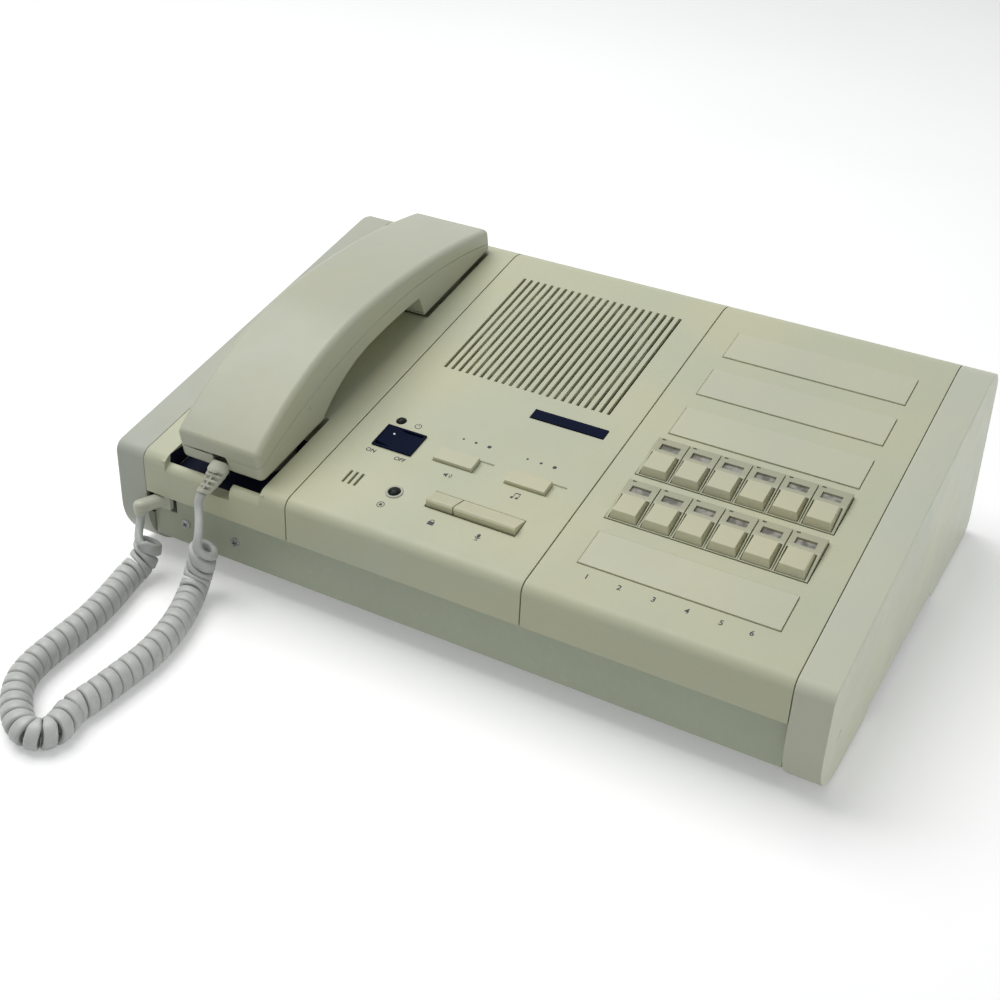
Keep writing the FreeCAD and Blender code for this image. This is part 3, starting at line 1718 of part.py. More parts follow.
def key_frame(label, front):
    """Moulded frame round one row of keys, with a window behind each key."""
    body = slope_body(label, frame_left, front)
    rim = size("frame_rim")
    below = size("frame_below")
    length = size("frame_length")
    proud = size("frame_proud")
    pad(body, "YZ", [[
        (as_size(0), -below),
        (length, -below),
        (length, proud - rim / 2),
        (length - rim / 2, proud),
        (size("lens_front") - rim / 2, proud),
        (as_size(0), size("frame_low")),
    ]], 0, frame_width)
    flange = size("frame_flange")
    outer = rectangle(-flange, -flange, frame_width + flange * 2, length + flange * 2)
    pad(body, "XY", [outer], -below, below - wall)
    cell = rectangle(rim, size("frame_front_rim"), size("key_cell_width"), size("key_cell_length"))
    keys = pocket(body, "XY", [cell], -below - 1, below + proud + 2)
    row_pattern(body, keys, "X", size("key_columns"), size("key_pitch"))
    window = rectangle(rim + size("lens_side"), size("lens_front"), lens_width, size("lens_length"))
    windows = pocket(body, "XY", [window], -below - 1, below + proud + 2)
    row_pattern(body, windows, "X", size("key_columns"), size("key_pitch"))
    mark = size("frame_mark")
    notch = rectangle(rim + mark / 2, length - mark, mark, mark / 2)
    marks = pocket(body, "XY", [notch], proud - mark / 2, mark)
    row_pattern(body, marks, "X", size("key_columns"), size("key_pitch"))
    groove = size("frame_groove")
    groove_left = rim + size("key_cell_width") + (size("key_pitch") - size("key_cell_width") - groove) / 2
    slot = rectangle(groove_left, -1, groove, length + 2)
    slots = pocket(body, "XY", [slot], 0, proud + 1)
    row_pattern(body, slots, "X", size("key_columns") - 1, size("key_pitch"))
    return body


def lamp_lenses():
    """Dark lamp windows, one carrier of six under each frame."""
    rim = size("frame_rim")
    body = slope_body("lamp_lenses", frame_left, 0, -size("frame_below"))
    play = size("lever_bore_play")
    height = size("frame_below") + size("frame_proud") - size("lens_sink")
    for front in key_rows:
        near_edge = front + size("lens_front")
        carrier = rectangle(rim, near_edge - 1, frame_width - rim * 2, size("lens_length") + 2)
        pad(body, "XY", [carrier], -size("lens_sheet"), size("lens_sheet"))
        tooth = rectangle(rim + size("lens_side") + play, near_edge + play, lens_width - play * 2,
                          size("lens_length") - play * 2)
        teeth = pad(body, "XY", [tooth], -size("lens_sheet") / 2, height + size("lens_sheet") / 2)
        row_pattern(body, teeth, "X", size("key_columns"), size("key_pitch"))
    return body


def selector_key(number, left, front):
    """Key cap with slanted sides and a square stem below."""
    body = slope_body("selector_key_%02d" % number, left, front)
    width = size("key_cell_width") - size("key_play") * 2
    length = size("key_cell_length") - size("key_play") * 2
    low = new_sketch(body, "XY", 0)
    add_outline(low, rectangle(0, 0, width, length))
    high = new_sketch(body, "XY", size("key_proud"))
    side = size("key_side_inset")
    top_length = length - size("key_front_inset") - size("key_back_inset")
    add_outline(high, rectangle(side, size("key_front_inset"), width - side * 2, top_length))
    loft = body.newObject("PartDesign::AdditiveLoft", body.Label + "_cap")
    loft.Profile = low
    loft.Sections = [high]
    loft.Ruled = True
    pad(body, "XY", [rectangle(0, 0, width, length)], -size("key_below"), size("key_below"))
    stem = size("key_stem")
    outline = rectangle((width - stem) / 2, (length - stem) / 2, stem, stem)
    pad(body, "XY", [outline], -key_drop, size("key_stem_length"))
    return body


def selector_keys():
    number = 1
    for front in key_rows:
        for column in range(6):
            left = frame_left + size("frame_rim") + size("key_pitch") * column + size("key_play")
            selector_key(number, left, front + size("frame_front_rim") + size("key_play"))
            number += 1


def key_switches():
    """Small switches under the keys, with bores for the stems."""
    body = slope_body("key_switches", frame_left, 0, switch_top)
    edge = size("key_switch_size")
    bore = size("key_stem") + size("switch_bore_play") * 2
    height = size("key_switch_height")
    for front in key_rows:
        middle_u = size("frame_rim") + size("key_cell_width") / 2
        middle_v = front + size("frame_front_rim") + size("key_cell_length") / 2
        box = rectangle(middle_u - edge / 2, middle_v - edge / 2, edge, edge)
        boxes = pad(body, "XY", [box], -height, height)
        row_pattern(body, boxes, "X", size("key_columns"), size("key_pitch"))
    for front in key_rows:
        middle_u = size("frame_rim") + size("key_cell_width") / 2
        middle_v = front + size("frame_front_rim") + size("key_cell_length") / 2
        hole = rectangle(middle_u - bore / 2, middle_v - bore / 2, bore, bore)
        holes = pocket(body, "XY", [hole], 1 - height, height)
        row_pattern(body, holes, "X", size("key_columns"), size("key_pitch"))


def key_board():
    margin = size("key_board_margin")
    body = slope_body("selector_board", frame_left - margin, key_rows[1] - 2, board_top)
    length = key_rows[0] + size("frame_length") - key_rows[1] + 4
    pad(body, "XY", [rectangle(0, 0, frame_width + margin * 2, length)], -size("board_sheet"),
        size("board_sheet"))


key_frame("key_frame_1", key_rows[0])
key_frame("key_frame_2", key_rows[1])
lamp_lenses()
selector_keys()
key_switches()
key_board()


# Inside the chassis

def main_board():
    floor = size("base_height") + size("sheet")
    left = speaker_left + size("main_board_margin")
    front = size("main_board_front")
    width = size("main_board_width")
    length = size("main_board_length")
    stand = size("main_board_stand")
    board = world_body("main_board", left, front, floor + stand)
    pad(board, "XY", [rectangle(0, 0, width, length)], 0, size("board_sheet"))
    spacers = world_body("board_spacers", left, front, floor)
    rings = []
    inset = size("spacer_inset")
    for x in (inset, width - inset):
        for y in (inset, length - inset):
            rings.append(circle(x, y, size("pillar_diameter")))
    pad(spacers, "XY", rings, 0, stand)
    parts = world_body("board_components", left, front, floor + stand + size("board_sheet"))
    chip = rectangle(size("chip_left"), size("chip_front"), size("chip_width"), size("chip_length"))
    chips = pad(parts, "XY", [chip], 0, size("chip_height"))
    row_pattern(parts, chips, "X", size("chip_count"), size("chip_pitch"))
    can = circle(size("can_left"), size("can_front"), size("can_diameter"))
    cans = pad(parts, "XY", [can], 0, size("can_height"))
    row_pattern(parts, cans, "X", size("can_count"), size("can_pitch"))
    relay = rectangle(size("relay_left"), size("relay_front"), size("relay_width"), size("relay_length"))
    relays = pad(parts, "XY", [relay], 0, size("relay_height"))
    row_pattern(parts, relays, "X", size("relay_count"), size("relay_pitch"))


main_board()


def terminal_block():
    body = world_body("terminal_block", selector_left + size("terminal_margin"), size("terminal_front"),
                      size("base_height") + size("sheet"))
    width = size("terminal_width")
    length = size("terminal_length")
    height = size("terminal_height")
    pad(body, "YZ", [[
        (as_size(0), as_size(0)),
        (length, as_size(0)),
        (length, height * 0.6),
        (length * 0.6, height),
        (as_size(0), height),
    ]], 0, width)
    edge = size("terminal_well")
    well = rectangle(size("terminal_side"), size("terminal_side"), edge, edge)
    wells = pocket(body, "XY", [well], height - edge, edge + 1)
    row_pattern(body, wells, "X", size("terminal_wells"), size("terminal_pitch"))


terminal_block()


# Handset socket, plug and curly cord

jack_x = size("jack_left") + size("jack_width") / 2
jack_z = (jack_low + jack_high) / 2
jack_tall = jack_high - jack_low


def handset_jack():
    front = size("plate_recess")
    body = world_body("handset_jack", size("jack_left"), front, jack_low)
    rim = size("jack_wall")
    flange = size("jack_flange")
    width = size("jack_width")
    depth = size("jack_depth")
    pad(body, "XZ", [rectangle(0, 0, width, jack_tall)], 0, depth)
    pad(body, "XZ", [rectangle(-flange, -flange, width + flange * 2, jack_tall + flange * 2)],
        size("sheet"), flange)
    socket = rectangle(rim, rim, width - rim * 2, jack_tall - rim * 2)
    pocket(body, "XZ", [socket], -1, size("plug_length") + 1)


handset_jack()


boot_turn = size("boot_turn")
boot_side = sin_of(boot_turn) * size("boot_reach")
boot_start = size("boot_sink") - size("plug_stick_out")
boot_forward = cos_of(boot_turn) * size("boot_reach") - boot_start
boot_drop = size("boot_diameter") / 2 + size("boot_outlet")


def cord_plug():
    """Plug in the socket with a right-angled boot, which lets the cord out downwards."""
    play = size("plug_play")
    rim = size("jack_wall")
    body = world_body("cord_plug", jack_x, size("plate_recess"), jack_z)
    half = size("boot_diameter") / 2
    across_x = cos_of(boot_turn) * half
    across_y = sin_of(boot_turn) * half
    middle = size("boot_rise")
    pad(body, "XY", [[
        (across_x, boot_start - across_y),
        (-across_x, boot_start + across_y),
        (-across_x - boot_side, across_y - boot_forward, half, 1),
        (-boot_side - across_y, -boot_forward - across_x, half, 1),
        (across_x - boot_side, -across_y - boot_forward),
    ]], middle - half, half * 2)

    def rims(edge):
        box = edge.BoundBox
        level = near(box.ZMin, middle + half) or near(box.ZMin, middle - half)
        return level and box.ZLength < 0.01 and box.YMin < boot_start.value - 3
    round_edges(body, size("boot_round"), rims)
    outlet = circle(-boot_side, -boot_forward, size("boot_diameter") - size("boot_outlet"))
    pad(body, "XY", [outlet], middle - boot_drop, boot_drop)
    width = size("jack_width") - rim * 2 - play * 2
    tall = jack_tall - rim * 2 - play * 2
    out = size("plug_stick_out")
    pad(body, "XZ", [rectangle(-width / 2, -tall / 2, width, tall)], -out, out + size("plug_length"))


cord_plug()


# Curly cord: one tube wound along a route on the table, from the plug to the strain relief

def coil_route():
    """Middle of the wound part, from the left outer face, the front wall and the table."""
    axis = size("curl_outer").value / 2 + size("curl_lift").value
    return [
        Vector(24.9, -10.8, 22.5),
        Vector(25.0, -11.3, 17.5),
        Vector(24.6, -13.4, 12.4),
        Vector(23.7, -18.4, 8.4),
        Vector(23.6, -25.2, axis),
        Vector(27.7, -40.6, axis),
        Vector(30.2, -52.7, axis),
        Vector(31.8, -64.0, axis),
        Vector(32.6, -77.0, axis),
        Vector(33.2, -90.0, axis),
        Vector(34.0, -99.5, axis),
        Vector(36.4, -108.5, axis),
        Vector(40.8, -116.5, axis),
        Vector(46.6, -123.0, axis),
        Vector(52.2, -128.4, axis),
        Vector(57.5, -132.2, axis),
        Vector(63.5, -134.8, axis),
        Vector(69.8, -133.8, axis),
        Vector(73.4, -128.6, axis),
        Vector(72.2, -121.3, axis),
        Vector(70.2, -114.5, axis),
        Vector(71.2, -106.5, axis),
        Vector(72.0, -98.0, axis),
        Vector(72.2, -89.5, axis),
        Vector(72.5, -81.0, axis),
        Vector(72.8, -72.0, axis),
        Vector(72.0, -62.0, axis),
        Vector(70.3, -52.0, axis),
        Vector(67.6, -42.0, axis),
        Vector(64.2, -32.5, axis),
        Vector(60.5, -24.0, axis),
        Vector(57.8, -16.6, 9.4),
        Vector(57.2, -12.2, 14.6),
        Vector(58.8, -11.2, 21.5),
        Vector(60.0, -11.0, 28.0),
        Vector(60.2, -11.0, 34.0),
    ]


def route_point(places, position):
    """Point of the clamped quadratic spline through a chain of places, one unit for each span."""
    spans = len(places) - 2
    index = min(int(position), spans - 1)
    share = position - index
    start = places[0] if index == 0 else (places[index] + places[index + 1]) * 0.5
    corner = places[index + 1]
    end = places[-1] if index == spans - 1 else (places[index + 1] + places[index + 2]) * 0.5
    return start * (1 - share) ** 2 + corner * (2 * share * (1 - share)) + end * share ** 2


def joining_curve(start, start_way, end, end_way):
    """Fine points of a soft curve that leaves and arrives along the given directions."""
    reach = (end - start).Length
    points = []
    steps = int(reach / 0.25)
    for i in range(steps + 1):
        s = i / steps
        points.append(
            start * (2 * s ** 3 - 3 * s ** 2 + 1) + start_way * (reach * (s ** 3 - 2 * s ** 2 + s))
            + end * (3 * s ** 2 - 2 * s ** 3) + end_way * (reach * (s ** 3 - s ** 2)))
    return points


def even_steps(points, step):
    """The same polyline with points at even distances."""
    lengths = [0.0]
    for a, b in zip(points, points[1:]):
        lengths.append(lengths[-1] + (b - a).Length)
    count = max(int(round(lengths[-1] / step)), 2)
    result = []
    place = 0
    for i in range(count + 1):
        want = lengths[-1] * i / count
        while place < len(points) - 2 and lengths[place + 1] < want:
            place += 1
        span = lengths[place + 1] - lengths[place]
        share = (want - lengths[place]) / span if span > 0 else 0.0
        result.append(points[place] + (points[place + 1] - points[place]) * share)
    return result, lengths[-1] / count


def frames_along(points):
    """Tangents and a pair of side directions that turn as little as they can."""
    count = len(points)
    tangents = []
    for i in range(count):
        a = points[max(i - 1, 0)]
        b = points[min(i + 1, count - 1)]
        tangents.append((b - a).normalize())
    side = Vector(-1, 0, 0)
    sides = []
    for tangent_here in tangents:
        side = (side - tangent_here * side.dot(tangent_here)).normalize()
        sides.append(Vector(side))
    return tangents, sides


def biarc(start, start_way, end, end_way):
    """Two arcs that leave and arrive along the given directions."""
    gap = end - start
    both = start_way + end_way
    a = 2 * (1 - start_way.dot(end_way))
    b = 2 * gap.dot(both)
    c = -gap.dot(gap)
    if abs(a) < 1e-6:
        reach = -c / b
    else:
        reach = (-b + math.sqrt(b * b - 4 * a * c)) / (2 * a)
    first = start + start_way * reach
    second = end - end_way * reach
    middle = (first + second) * 0.5
    way = (second - first).normalize()
    pieces = []
    smallest = 1e9
    for p, q, tangent_here in ((start, middle, start_way), (middle, end, way)):
        chord = q - p
        bend = tangent_here.cross(chord).Length / chord.Length
        if bend < 1e-4:
            pieces.append(Part.LineSegment(p, q).toShape())
            continue
        normal = tangent_here.cross(chord).cross(tangent_here).normalize()
        radius = chord.dot(chord) / (2 * chord.dot(normal))
        centre = p + normal * radius
        outward = ((p + q) * 0.5 - centre).normalize()
        pieces.append(Part.Arc(p, centre + outward * radius, q).toShape())
        smallest = min(smallest, radius)
    return pieces, smallest


def wound_coil(helix, wire):
    """Fine points of the coil, with how far each one is along in quarter turns."""
    pitch = size("curl_pitch").value
    inner_pitch = size("curl_inner_pitch").value
    soft = size("curl_soft_start").value
    places = coil_route()
    spans = len(places) - 2
    fine = [route_point(places, i / 24) for i in range(spans * 24 + 1)]
    points, step = even_steps(fine, 0.2)
    tangents, sides = frames_along(points)
    count = len(points)
    angle = 0.0
    angles = [0.0]
    shares = [0.0]
    for i in range(1, count):
        a = tangents[max(i - 10, 0)]
        b = tangents[min(i + 10, count - 1)]
        bend = a.getAngle(b) / (20 * step)
        local = max(pitch, inner_pitch / max(1 - helix * bend, 0.3))
        rate = 2 * math.pi / local
        from_end = min(i, count - 1 - i) * step
        if from_end < soft:
            gentle = from_end / math.sqrt(soft * soft - from_end * from_end) / helix
        else:
            gentle = rate
        share = min(gentle / rate, 1.0)
        angle += rate * share * step
        angles.append(angle)
        shares.append(share)
    across = tangents[-1].cross(sides[-1])
    forward = Vector(0, -1, 0)
    wanted = math.atan2(-forward.dot(across), forward.dot(sides[-1]))
    turns = round((angle - wanted) / (2 * math.pi))
    stretch = (wanted + turns * 2 * math.pi) / angle
    curve = []
    progress = [0.0]
    for i in range(count):
        turn = angles[i] * stretch
        across = tangents[i].cross(sides[i])
        curve.append(points[i] + (sides[i] * math.cos(turn) - across * math.sin(turn)) * helix)
        if i > 0:
            straight = (curve[i] - curve[i - 1]).Length / (wire * 1.2)
            turned = (angles[i] - angles[i - 1]) * stretch / (math.pi / 2)
            progress.append(progress[-1] + straight * (1 - shares[i]) + turned * shares[i])
    return curve, progress, angles[-1] * stretch


def add_stretch(curve, progress, points, ways):
    """Lengthens the curve and its progress by more fine points."""
    for point in points:
        progress.append(progress[-1] + (point - curve[-1]).Length / ways)
        curve.append(point)


def curly_cord():
    wire = size("cord_diameter").value
    helix = (size("curl_outer").value - wire) / 2
    plug_end = Vector((jack_x - boot_side).value, (size("plate_recess") - boot_forward).value,
                      (jack_z + size("boot_rise") - boot_drop).value)
    tip_y = relief_tip_v * cosine - relief_tip_n * sine
    tip_z = relief_tip_v * sine + relief_tip_n * cosine + front_height
    relief_end = Vector(handset_centre.value, tip_y.value, tip_z.value)
    lean = math.radians(size("relief_angle").value - slope.value)
    relief_way = Vector(0, -math.sin(lean), -math.cos(lean))
    plug_way = Vector(0, 0, -1)
    first = plug_end + plug_way * wire
    last = relief_end + relief_way * wire
    coil, coil_progress, last_turn = wound_coil(helix, wire)
    coil_start_way = (coil[1] - coil[0]).normalize()
    coil_end_way = (coil[-1] - coil[-2]).normalize()
    curve = [first]
    progress = [0.0]
    add_stretch(curve, progress, joining_curve(first, plug_way, coil[0], coil_start_way)[1:], wire * 1.2)
    base = progress[-1]
    curve += coil[1:]
    progress += [base + value for value in coil_progress[1:]]
    add_stretch(curve, progress, joining_curve(coil[-1], coil_end_way, last, relief_way * -1)[1:], wire * 1.2)
    marks = [0]
    for i in range(1, len(curve) - 1):
        enough = progress[i] - progress[marks[-1]] >= 1
        if enough and progress[-1] - progress[i] > 0.5:
            marks.append(i)
    marks.append(len(curve) - 1)
    ways = []
    for mark in marks:
        if mark == 0:
            ways.append(plug_way)
        elif mark == len(curve) - 1:
            ways.append(relief_way * -1)
        else:
            ways.append((curve[mark + 1] - curve[mark - 1]).normalize())
    edges = [Part.LineSegment(plug_end, first).toShape()]
    smallest = 1e9
    for i in range(len(marks) - 1):
        pieces, radius = biarc(curve[marks[i]], ways[i], curve[marks[i + 1]], ways[i + 1])
        edges += pieces
        smallest = min(smallest, radius)
    edges.append(Part.LineSegment(last, relief_end).toShape())
    path = Part.Wire(edges)
    corners = []
    for i in range(7):
        turn = math.radians(60 * i + 30)
        corners.append(plug_end + Vector(math.cos(turn), math.sin(turn), 0) * (wire / 2))
    shell = Part.BRepOffsetAPI.MakePipeShell(path)
    shell.add(Part.makePolygon(corners))
    shell.build()
    shell.makeSolid()
    shape = shell.shape()
    if shape.Volume < 0:
        shape.reverse()
    turns = last_turn / (2 * math.pi)
    gap = least_gap(edges, wire)
    section = 6 * 0.5 * (wire / 2) ** 2 * math.sin(math.radians(60))
    print("curly cord: %.1f turns, %.0f mm of tube, smallest arc %.2f mm, least gap %.2f mm, volume ratio %.4f"
          % (turns, path.Length, smallest, gap, shape.Volume / (section * path.Length)))
    shape.translate(Vector(-console_width.value / 2, -console_depth.value / 2, 0))
    cord = doc.addObject("Part::Feature", "curly_cord")
    cord.Label = "curly_cord"
    cord.Shape = shape
    PARTS.append(cord)


def least_gap(edges, wire):
    """Smallest free space between stretches of the tube that lie over two diameters apart along it."""
    samples = []
    along = 0.0
    for edge in edges:
        number = max(int(edge.Length / 0.8), 1)
        for i in range(number):
            share = i / number
            at = edge.FirstParameter + (edge.LastParameter - edge.FirstParameter) * share
            samples.append((along + edge.Length * share, edge.valueAt(at)))
        along += edge.Length
    cells = {}
    reach = wire * 2
    for number, (_, point) in enumerate(samples):
        key = (int(point.x // reach), int(point.y // reach), int(point.z // reach))
        cells.setdefault(key, []).append(number)
    best = 1e9
    for number, (where, point) in enumerate(samples):
        key = (int(point.x // reach), int(point.y // reach), int(point.z // reach))
        for dx in (-1, 0, 1):
            for dy in (-1, 0, 1):
                for dz in (-1, 0, 1):
                    for other in cells.get((key[0] + dx, key[1] + dy, key[2] + dz), ()):
                        if samples[other][0] - where > wire * 3:
                            best = min(best, (samples[other][1] - point).Length)
    return best - wire


curly_cord()


# Checks and export

def finish():
    doc.recompute()
    for thing in doc.Objects:
        if "Invalid" in thing.State or "Error" in thing.State:
            raise RuntimeError("%s is %s" % (thing.Label, thing.State))
    os.makedirs("parts", exist_ok=True)
    for piece in PARTS:
        if piece.Shape.isNull() or not piece.Shape.isValid() or piece.Shape.Volume <= 0:
            raise RuntimeError("no valid shape in " + piece.Label)
        piece.Shape.exportStep("parts/%s.step" % piece.Label)
    print("%d pieces written" % len(PARTS))


finish()
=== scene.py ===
import json
import math

import bmesh
import bpy
from mathutils import Matrix, Vector
from mathutils.bvhtree import BVHTree


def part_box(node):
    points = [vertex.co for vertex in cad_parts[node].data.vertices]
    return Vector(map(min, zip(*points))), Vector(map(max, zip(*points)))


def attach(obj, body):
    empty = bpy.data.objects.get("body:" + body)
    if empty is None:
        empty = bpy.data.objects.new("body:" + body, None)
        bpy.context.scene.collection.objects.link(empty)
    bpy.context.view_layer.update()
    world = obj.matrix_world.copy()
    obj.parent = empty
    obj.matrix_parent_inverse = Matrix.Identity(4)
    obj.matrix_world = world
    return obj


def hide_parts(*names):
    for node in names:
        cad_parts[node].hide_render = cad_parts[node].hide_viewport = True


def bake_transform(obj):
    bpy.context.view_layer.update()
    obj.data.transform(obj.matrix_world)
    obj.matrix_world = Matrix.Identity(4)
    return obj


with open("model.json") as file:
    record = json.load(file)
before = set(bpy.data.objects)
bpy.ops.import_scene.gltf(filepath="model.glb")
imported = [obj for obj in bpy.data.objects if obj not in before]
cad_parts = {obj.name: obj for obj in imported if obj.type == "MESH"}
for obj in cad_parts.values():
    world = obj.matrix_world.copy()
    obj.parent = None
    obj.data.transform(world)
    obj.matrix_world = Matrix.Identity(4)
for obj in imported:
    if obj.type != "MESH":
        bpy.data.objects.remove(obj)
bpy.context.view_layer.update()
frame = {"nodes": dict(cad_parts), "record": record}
nodes = frame["nodes"]

MM = 0.001

# Places on the console, in millimetres from its left outer face, front wall and table
SLOPE_DEGREES = 12.0
FRONT_HEIGHT = 62.5
cap_low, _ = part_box("left_end_cap")
LEFT_FACE = cap_low.x / MM
FRONT_WALL = cap_low.y / MM
SINE = math.sin(math.radians(SLOPE_DEGREES))
COSINE = math.cos(math.radians(SLOPE_DEGREES))


def console_point(x, y, z):
    """A place counted from the left outer face, the front wall and the table, in metres."""
    return Vector((x + LEFT_FACE, y + FRONT_WALL, z)) * MM


def slope_point(u, v, n):
    """A place in the slope axes: right, up the slope from the front edge, and square out of it."""
    return console_point(u, v * COSINE - n * SINE, FRONT_HEIGHT + v * SINE + n * COSINE)


def slope_frame(u, v, n):
    """Axes that lie in the slope at one place on it."""
    turn = Matrix.Rotation(math.radians(SLOPE_DEGREES), 4, "X")
    return Matrix.Translation(slope_point(u, v, n)) @ turn


# Camera

CAMERA_PLACE = (0.2735, -0.5881, 0.4268)
CAMERA_TURN = (58.026, -2.247, 29.192)
CAMERA_LENS = 53.19


def add_camera():
    camera = bpy.data.cameras.new("camera")
    camera.lens = CAMERA_LENS
    camera.sensor_width = 36.0
    holder = bpy.data.objects.new("camera", camera)
    holder.location = CAMERA_PLACE
    holder.rotation_euler = [math.radians(angle) for angle in CAMERA_TURN]
    bpy.context.scene.collection.objects.link(holder)
    bpy.context.scene.camera = holder


add_camera()


# Node material helpers

def new_material(name):
    material = bpy.data.materials.new(name)
    material.use_nodes = True
    tree = material.node_tree
    shader = tree.nodes["Principled BSDF"]
    return material, tree, shader


def place_node(tree):
    return tree.nodes.new("ShaderNodeTexCoord").outputs["Object"]


def noise(tree, where, scale, detail=3.0, roughness=0.5):
    """A cloudy pattern with the given number of cycles in a metre."""
    node = tree.nodes.new("ShaderNodeTexNoise")
    node.inputs["Scale"].default_value = scale
    node.inputs["Detail"].default_value = detail
    node.inputs["Roughness"].default_value = roughness
    tree.links.new(where, node.inputs["Vector"])
    return node.outputs["Fac"]


def ramp(tree, factor, stops):
    """Turns a factor into colour through the given (place, colour) stops."""
    node = tree.nodes.new("ShaderNodeValToRGB")
    elements = node.color_ramp.elements
    while len(elements) > 1:
        elements.remove(elements[-1])
    elements[0].position = stops[0][0]
    elements[0].color = (*stops[0][1], 1)
    for place, colour in stops[1:]:
        element = elements.new(place)
        element.color = (*colour, 1)
    tree.links.new(factor, node.inputs["Fac"])
    return node.outputs["Color"]


def spread(tree, factor, low, high, from_low=0.3, from_high=0.7):
    """The factor stretched to run from low to high."""
    node = tree.nodes.new("ShaderNodeMapRange")
    node.inputs["From Min"].default_value = from_low
    node.inputs["From Max"].default_value = from_high
    node.inputs["To Min"].default_value = low
    node.inputs["To Max"].default_value = high
    tree.links.new(factor, node.inputs["Value"])
    return node.outputs["Result"]


def mix(tree, factor, first, second):
    """Two colours mixed by a factor socket; a colour is a socket or three numbers."""
    node = tree.nodes.new("ShaderNodeMix")
    node.data_type = "RGBA"
    tree.links.new(factor, node.inputs["Factor"])
    for socket, colour in (("A", first), ("B", second)):
        target = [entry for entry in node.inputs if entry.name == socket and entry.type == "RGBA"][0]
        if isinstance(colour, tuple):
            target.default_value = (*colour, 1)
        else:
            tree.links.new(colour, target)
    return [entry for entry in node.outputs if entry.type == "RGBA"][0]


def add_bumps(tree, shader, layers):
    """Stacks (height socket, strength, depth in metres) layers on the shader's normal."""
    below = None
    for height, strength, depth in layers:
        bump = tree.nodes.new("ShaderNodeBump")
        bump.inputs["Strength"].default_value = strength
        bump.inputs["Distance"].default_value = depth
        tree.links.new(height, bump.inputs["Height"])
        if below is not None:
            tree.links.new(below, bump.inputs["Normal"])
        below = bump.outputs["Normal"]
    tree.links.new(below, shader.inputs["Normal"])


def shade(colour, amount):
    return tuple(min(max(part * amount, 0.0), 1.0) for part in colour)


# Materials

def moulded_plastic(name, colour, gloss=0.42, grain=2600.0, dirt=0.5, yellowing=0.03, mirror=0.4):
    """Grained moulded plastic with slow colour drift, faint smudges and rubbed gloss."""
    material, tree, shader = new_material(name)
    where = place_node(tree)
    drift = noise(tree, where, 14.0, 3.0)
    smudge = noise(tree, where, 55.0, 5.0, 0.6)
    speck = noise(tree, where, 900.0, 2.0)
    warm = (colour[0] * (1 + yellowing), colour[1], colour[2] * (1 - 2 * yellowing))
    base = ramp(tree, drift, [(0.35, shade(colour, 0.975)), (0.65, shade(warm, 1.02))])
    stained = mix(tree, spread(tree, smudge, 0.0, 0.14 * dirt, 0.42, 0.95), base, shade(colour, 0.55))
    fine = mix(tree, spread(tree, speck, 0.0, 0.05, 0.45, 0.7), stained, shade(colour, 0.7))
    tree.links.new(fine, shader.inputs["Base Color"])
    tree.links.new(spread(tree, smudge, gloss - 0.05, gloss + 0.09), shader.inputs["Roughness"])
    shader.inputs["Specular IOR Level"].default_value = mirror
    add_bumps(tree, shader, [
        (noise(tree, where, grain, 2.0), 0.16, 0.0002),
        (noise(tree, where, 120.0, 2.0), 0.05, 0.0006),
    ])
    return material


def painted_steel(name, colour, gloss=0.38):
    """Oven paint with orange peel and dust."""
    material, tree, shader = new_material(name)
    where = place_node(tree)
    drift = noise(tree, where, 9.0, 3.0)
    dust = noise(tree, where, 260.0, 6.0, 0.7)
    base = ramp(tree, drift, [(0.3, shade(colour, 0.95)), (0.7, shade(colour, 1.05))])
    dusted = mix(tree, spread(tree, dust, 0.0, 0.14, 0.5, 0.75), base, shade(colour, 1.6))
    tree.links.new(dusted, shader.inputs["Base Color"])
    tree.links.new(spread(tree, dust, gloss - 0.04, gloss + 0.14), shader.inputs["Roughness"])
    add_bumps(tree, shader, [(noise(tree, where, 700.0, 2.0), 0.14, 0.0004)])
    return material


def soft_vinyl(name, colour, gloss=0.36):
    """Cord jacket: smooth vinyl with grey handling marks and a soft sheen."""
    material, tree, shader = new_material(name)
    where = place_node(tree)
    drift = noise(tree, where, 30.0, 3.0)
    grime = noise(tree, where, 190.0, 5.0, 0.65)
    base = ramp(tree, drift, [(0.35, shade(colour, 0.94)), (0.65, shade(colour, 1.04))])
    dirty = mix(tree, spread(tree, grime, 0.0, 0.22, 0.5, 0.8), base, shade(colour, 0.5))
    tree.links.new(dirty, shader.inputs["Base Color"])
    tree.links.new(spread(tree, grime, gloss - 0.06, gloss + 0.12), shader.inputs["Roughness"])
    shader.inputs["Subsurface Weight"].default_value = 0.06
    shader.inputs["Subsurface Radius"].default_value = (0.004, 0.004, 0.003)
    add_bumps(tree, shader, [(noise(tree, where, 1500.0, 2.0), 0.12, 0.0002)])
    return material


def bare_metal(name, colour, gloss=0.3):
    """Plated steel with a fine brushed grain and dull spots."""
    material, tree, shader = new_material(name)
    where = place_node(tree)
    grain = noise(tree, where, 2400.0, 2.0)
    spots = noise(tree, where, 220.0, 4.0, 0.6)
    base = ramp(tree, spots, [(0.35, shade(colour, 0.8)), (0.65, shade(colour, 1.1))])
    tree.links.new(base, shader.inputs["Base Color"])
    shader.inputs["Metallic"].default_value = 0.9
    tree.links.new(spread(tree, spots, gloss - 0.08, gloss + 0.16), shader.inputs["Roughness"])
    add_bumps(tree, shader, [(grain, 0.2, 0.0001)])
    return material


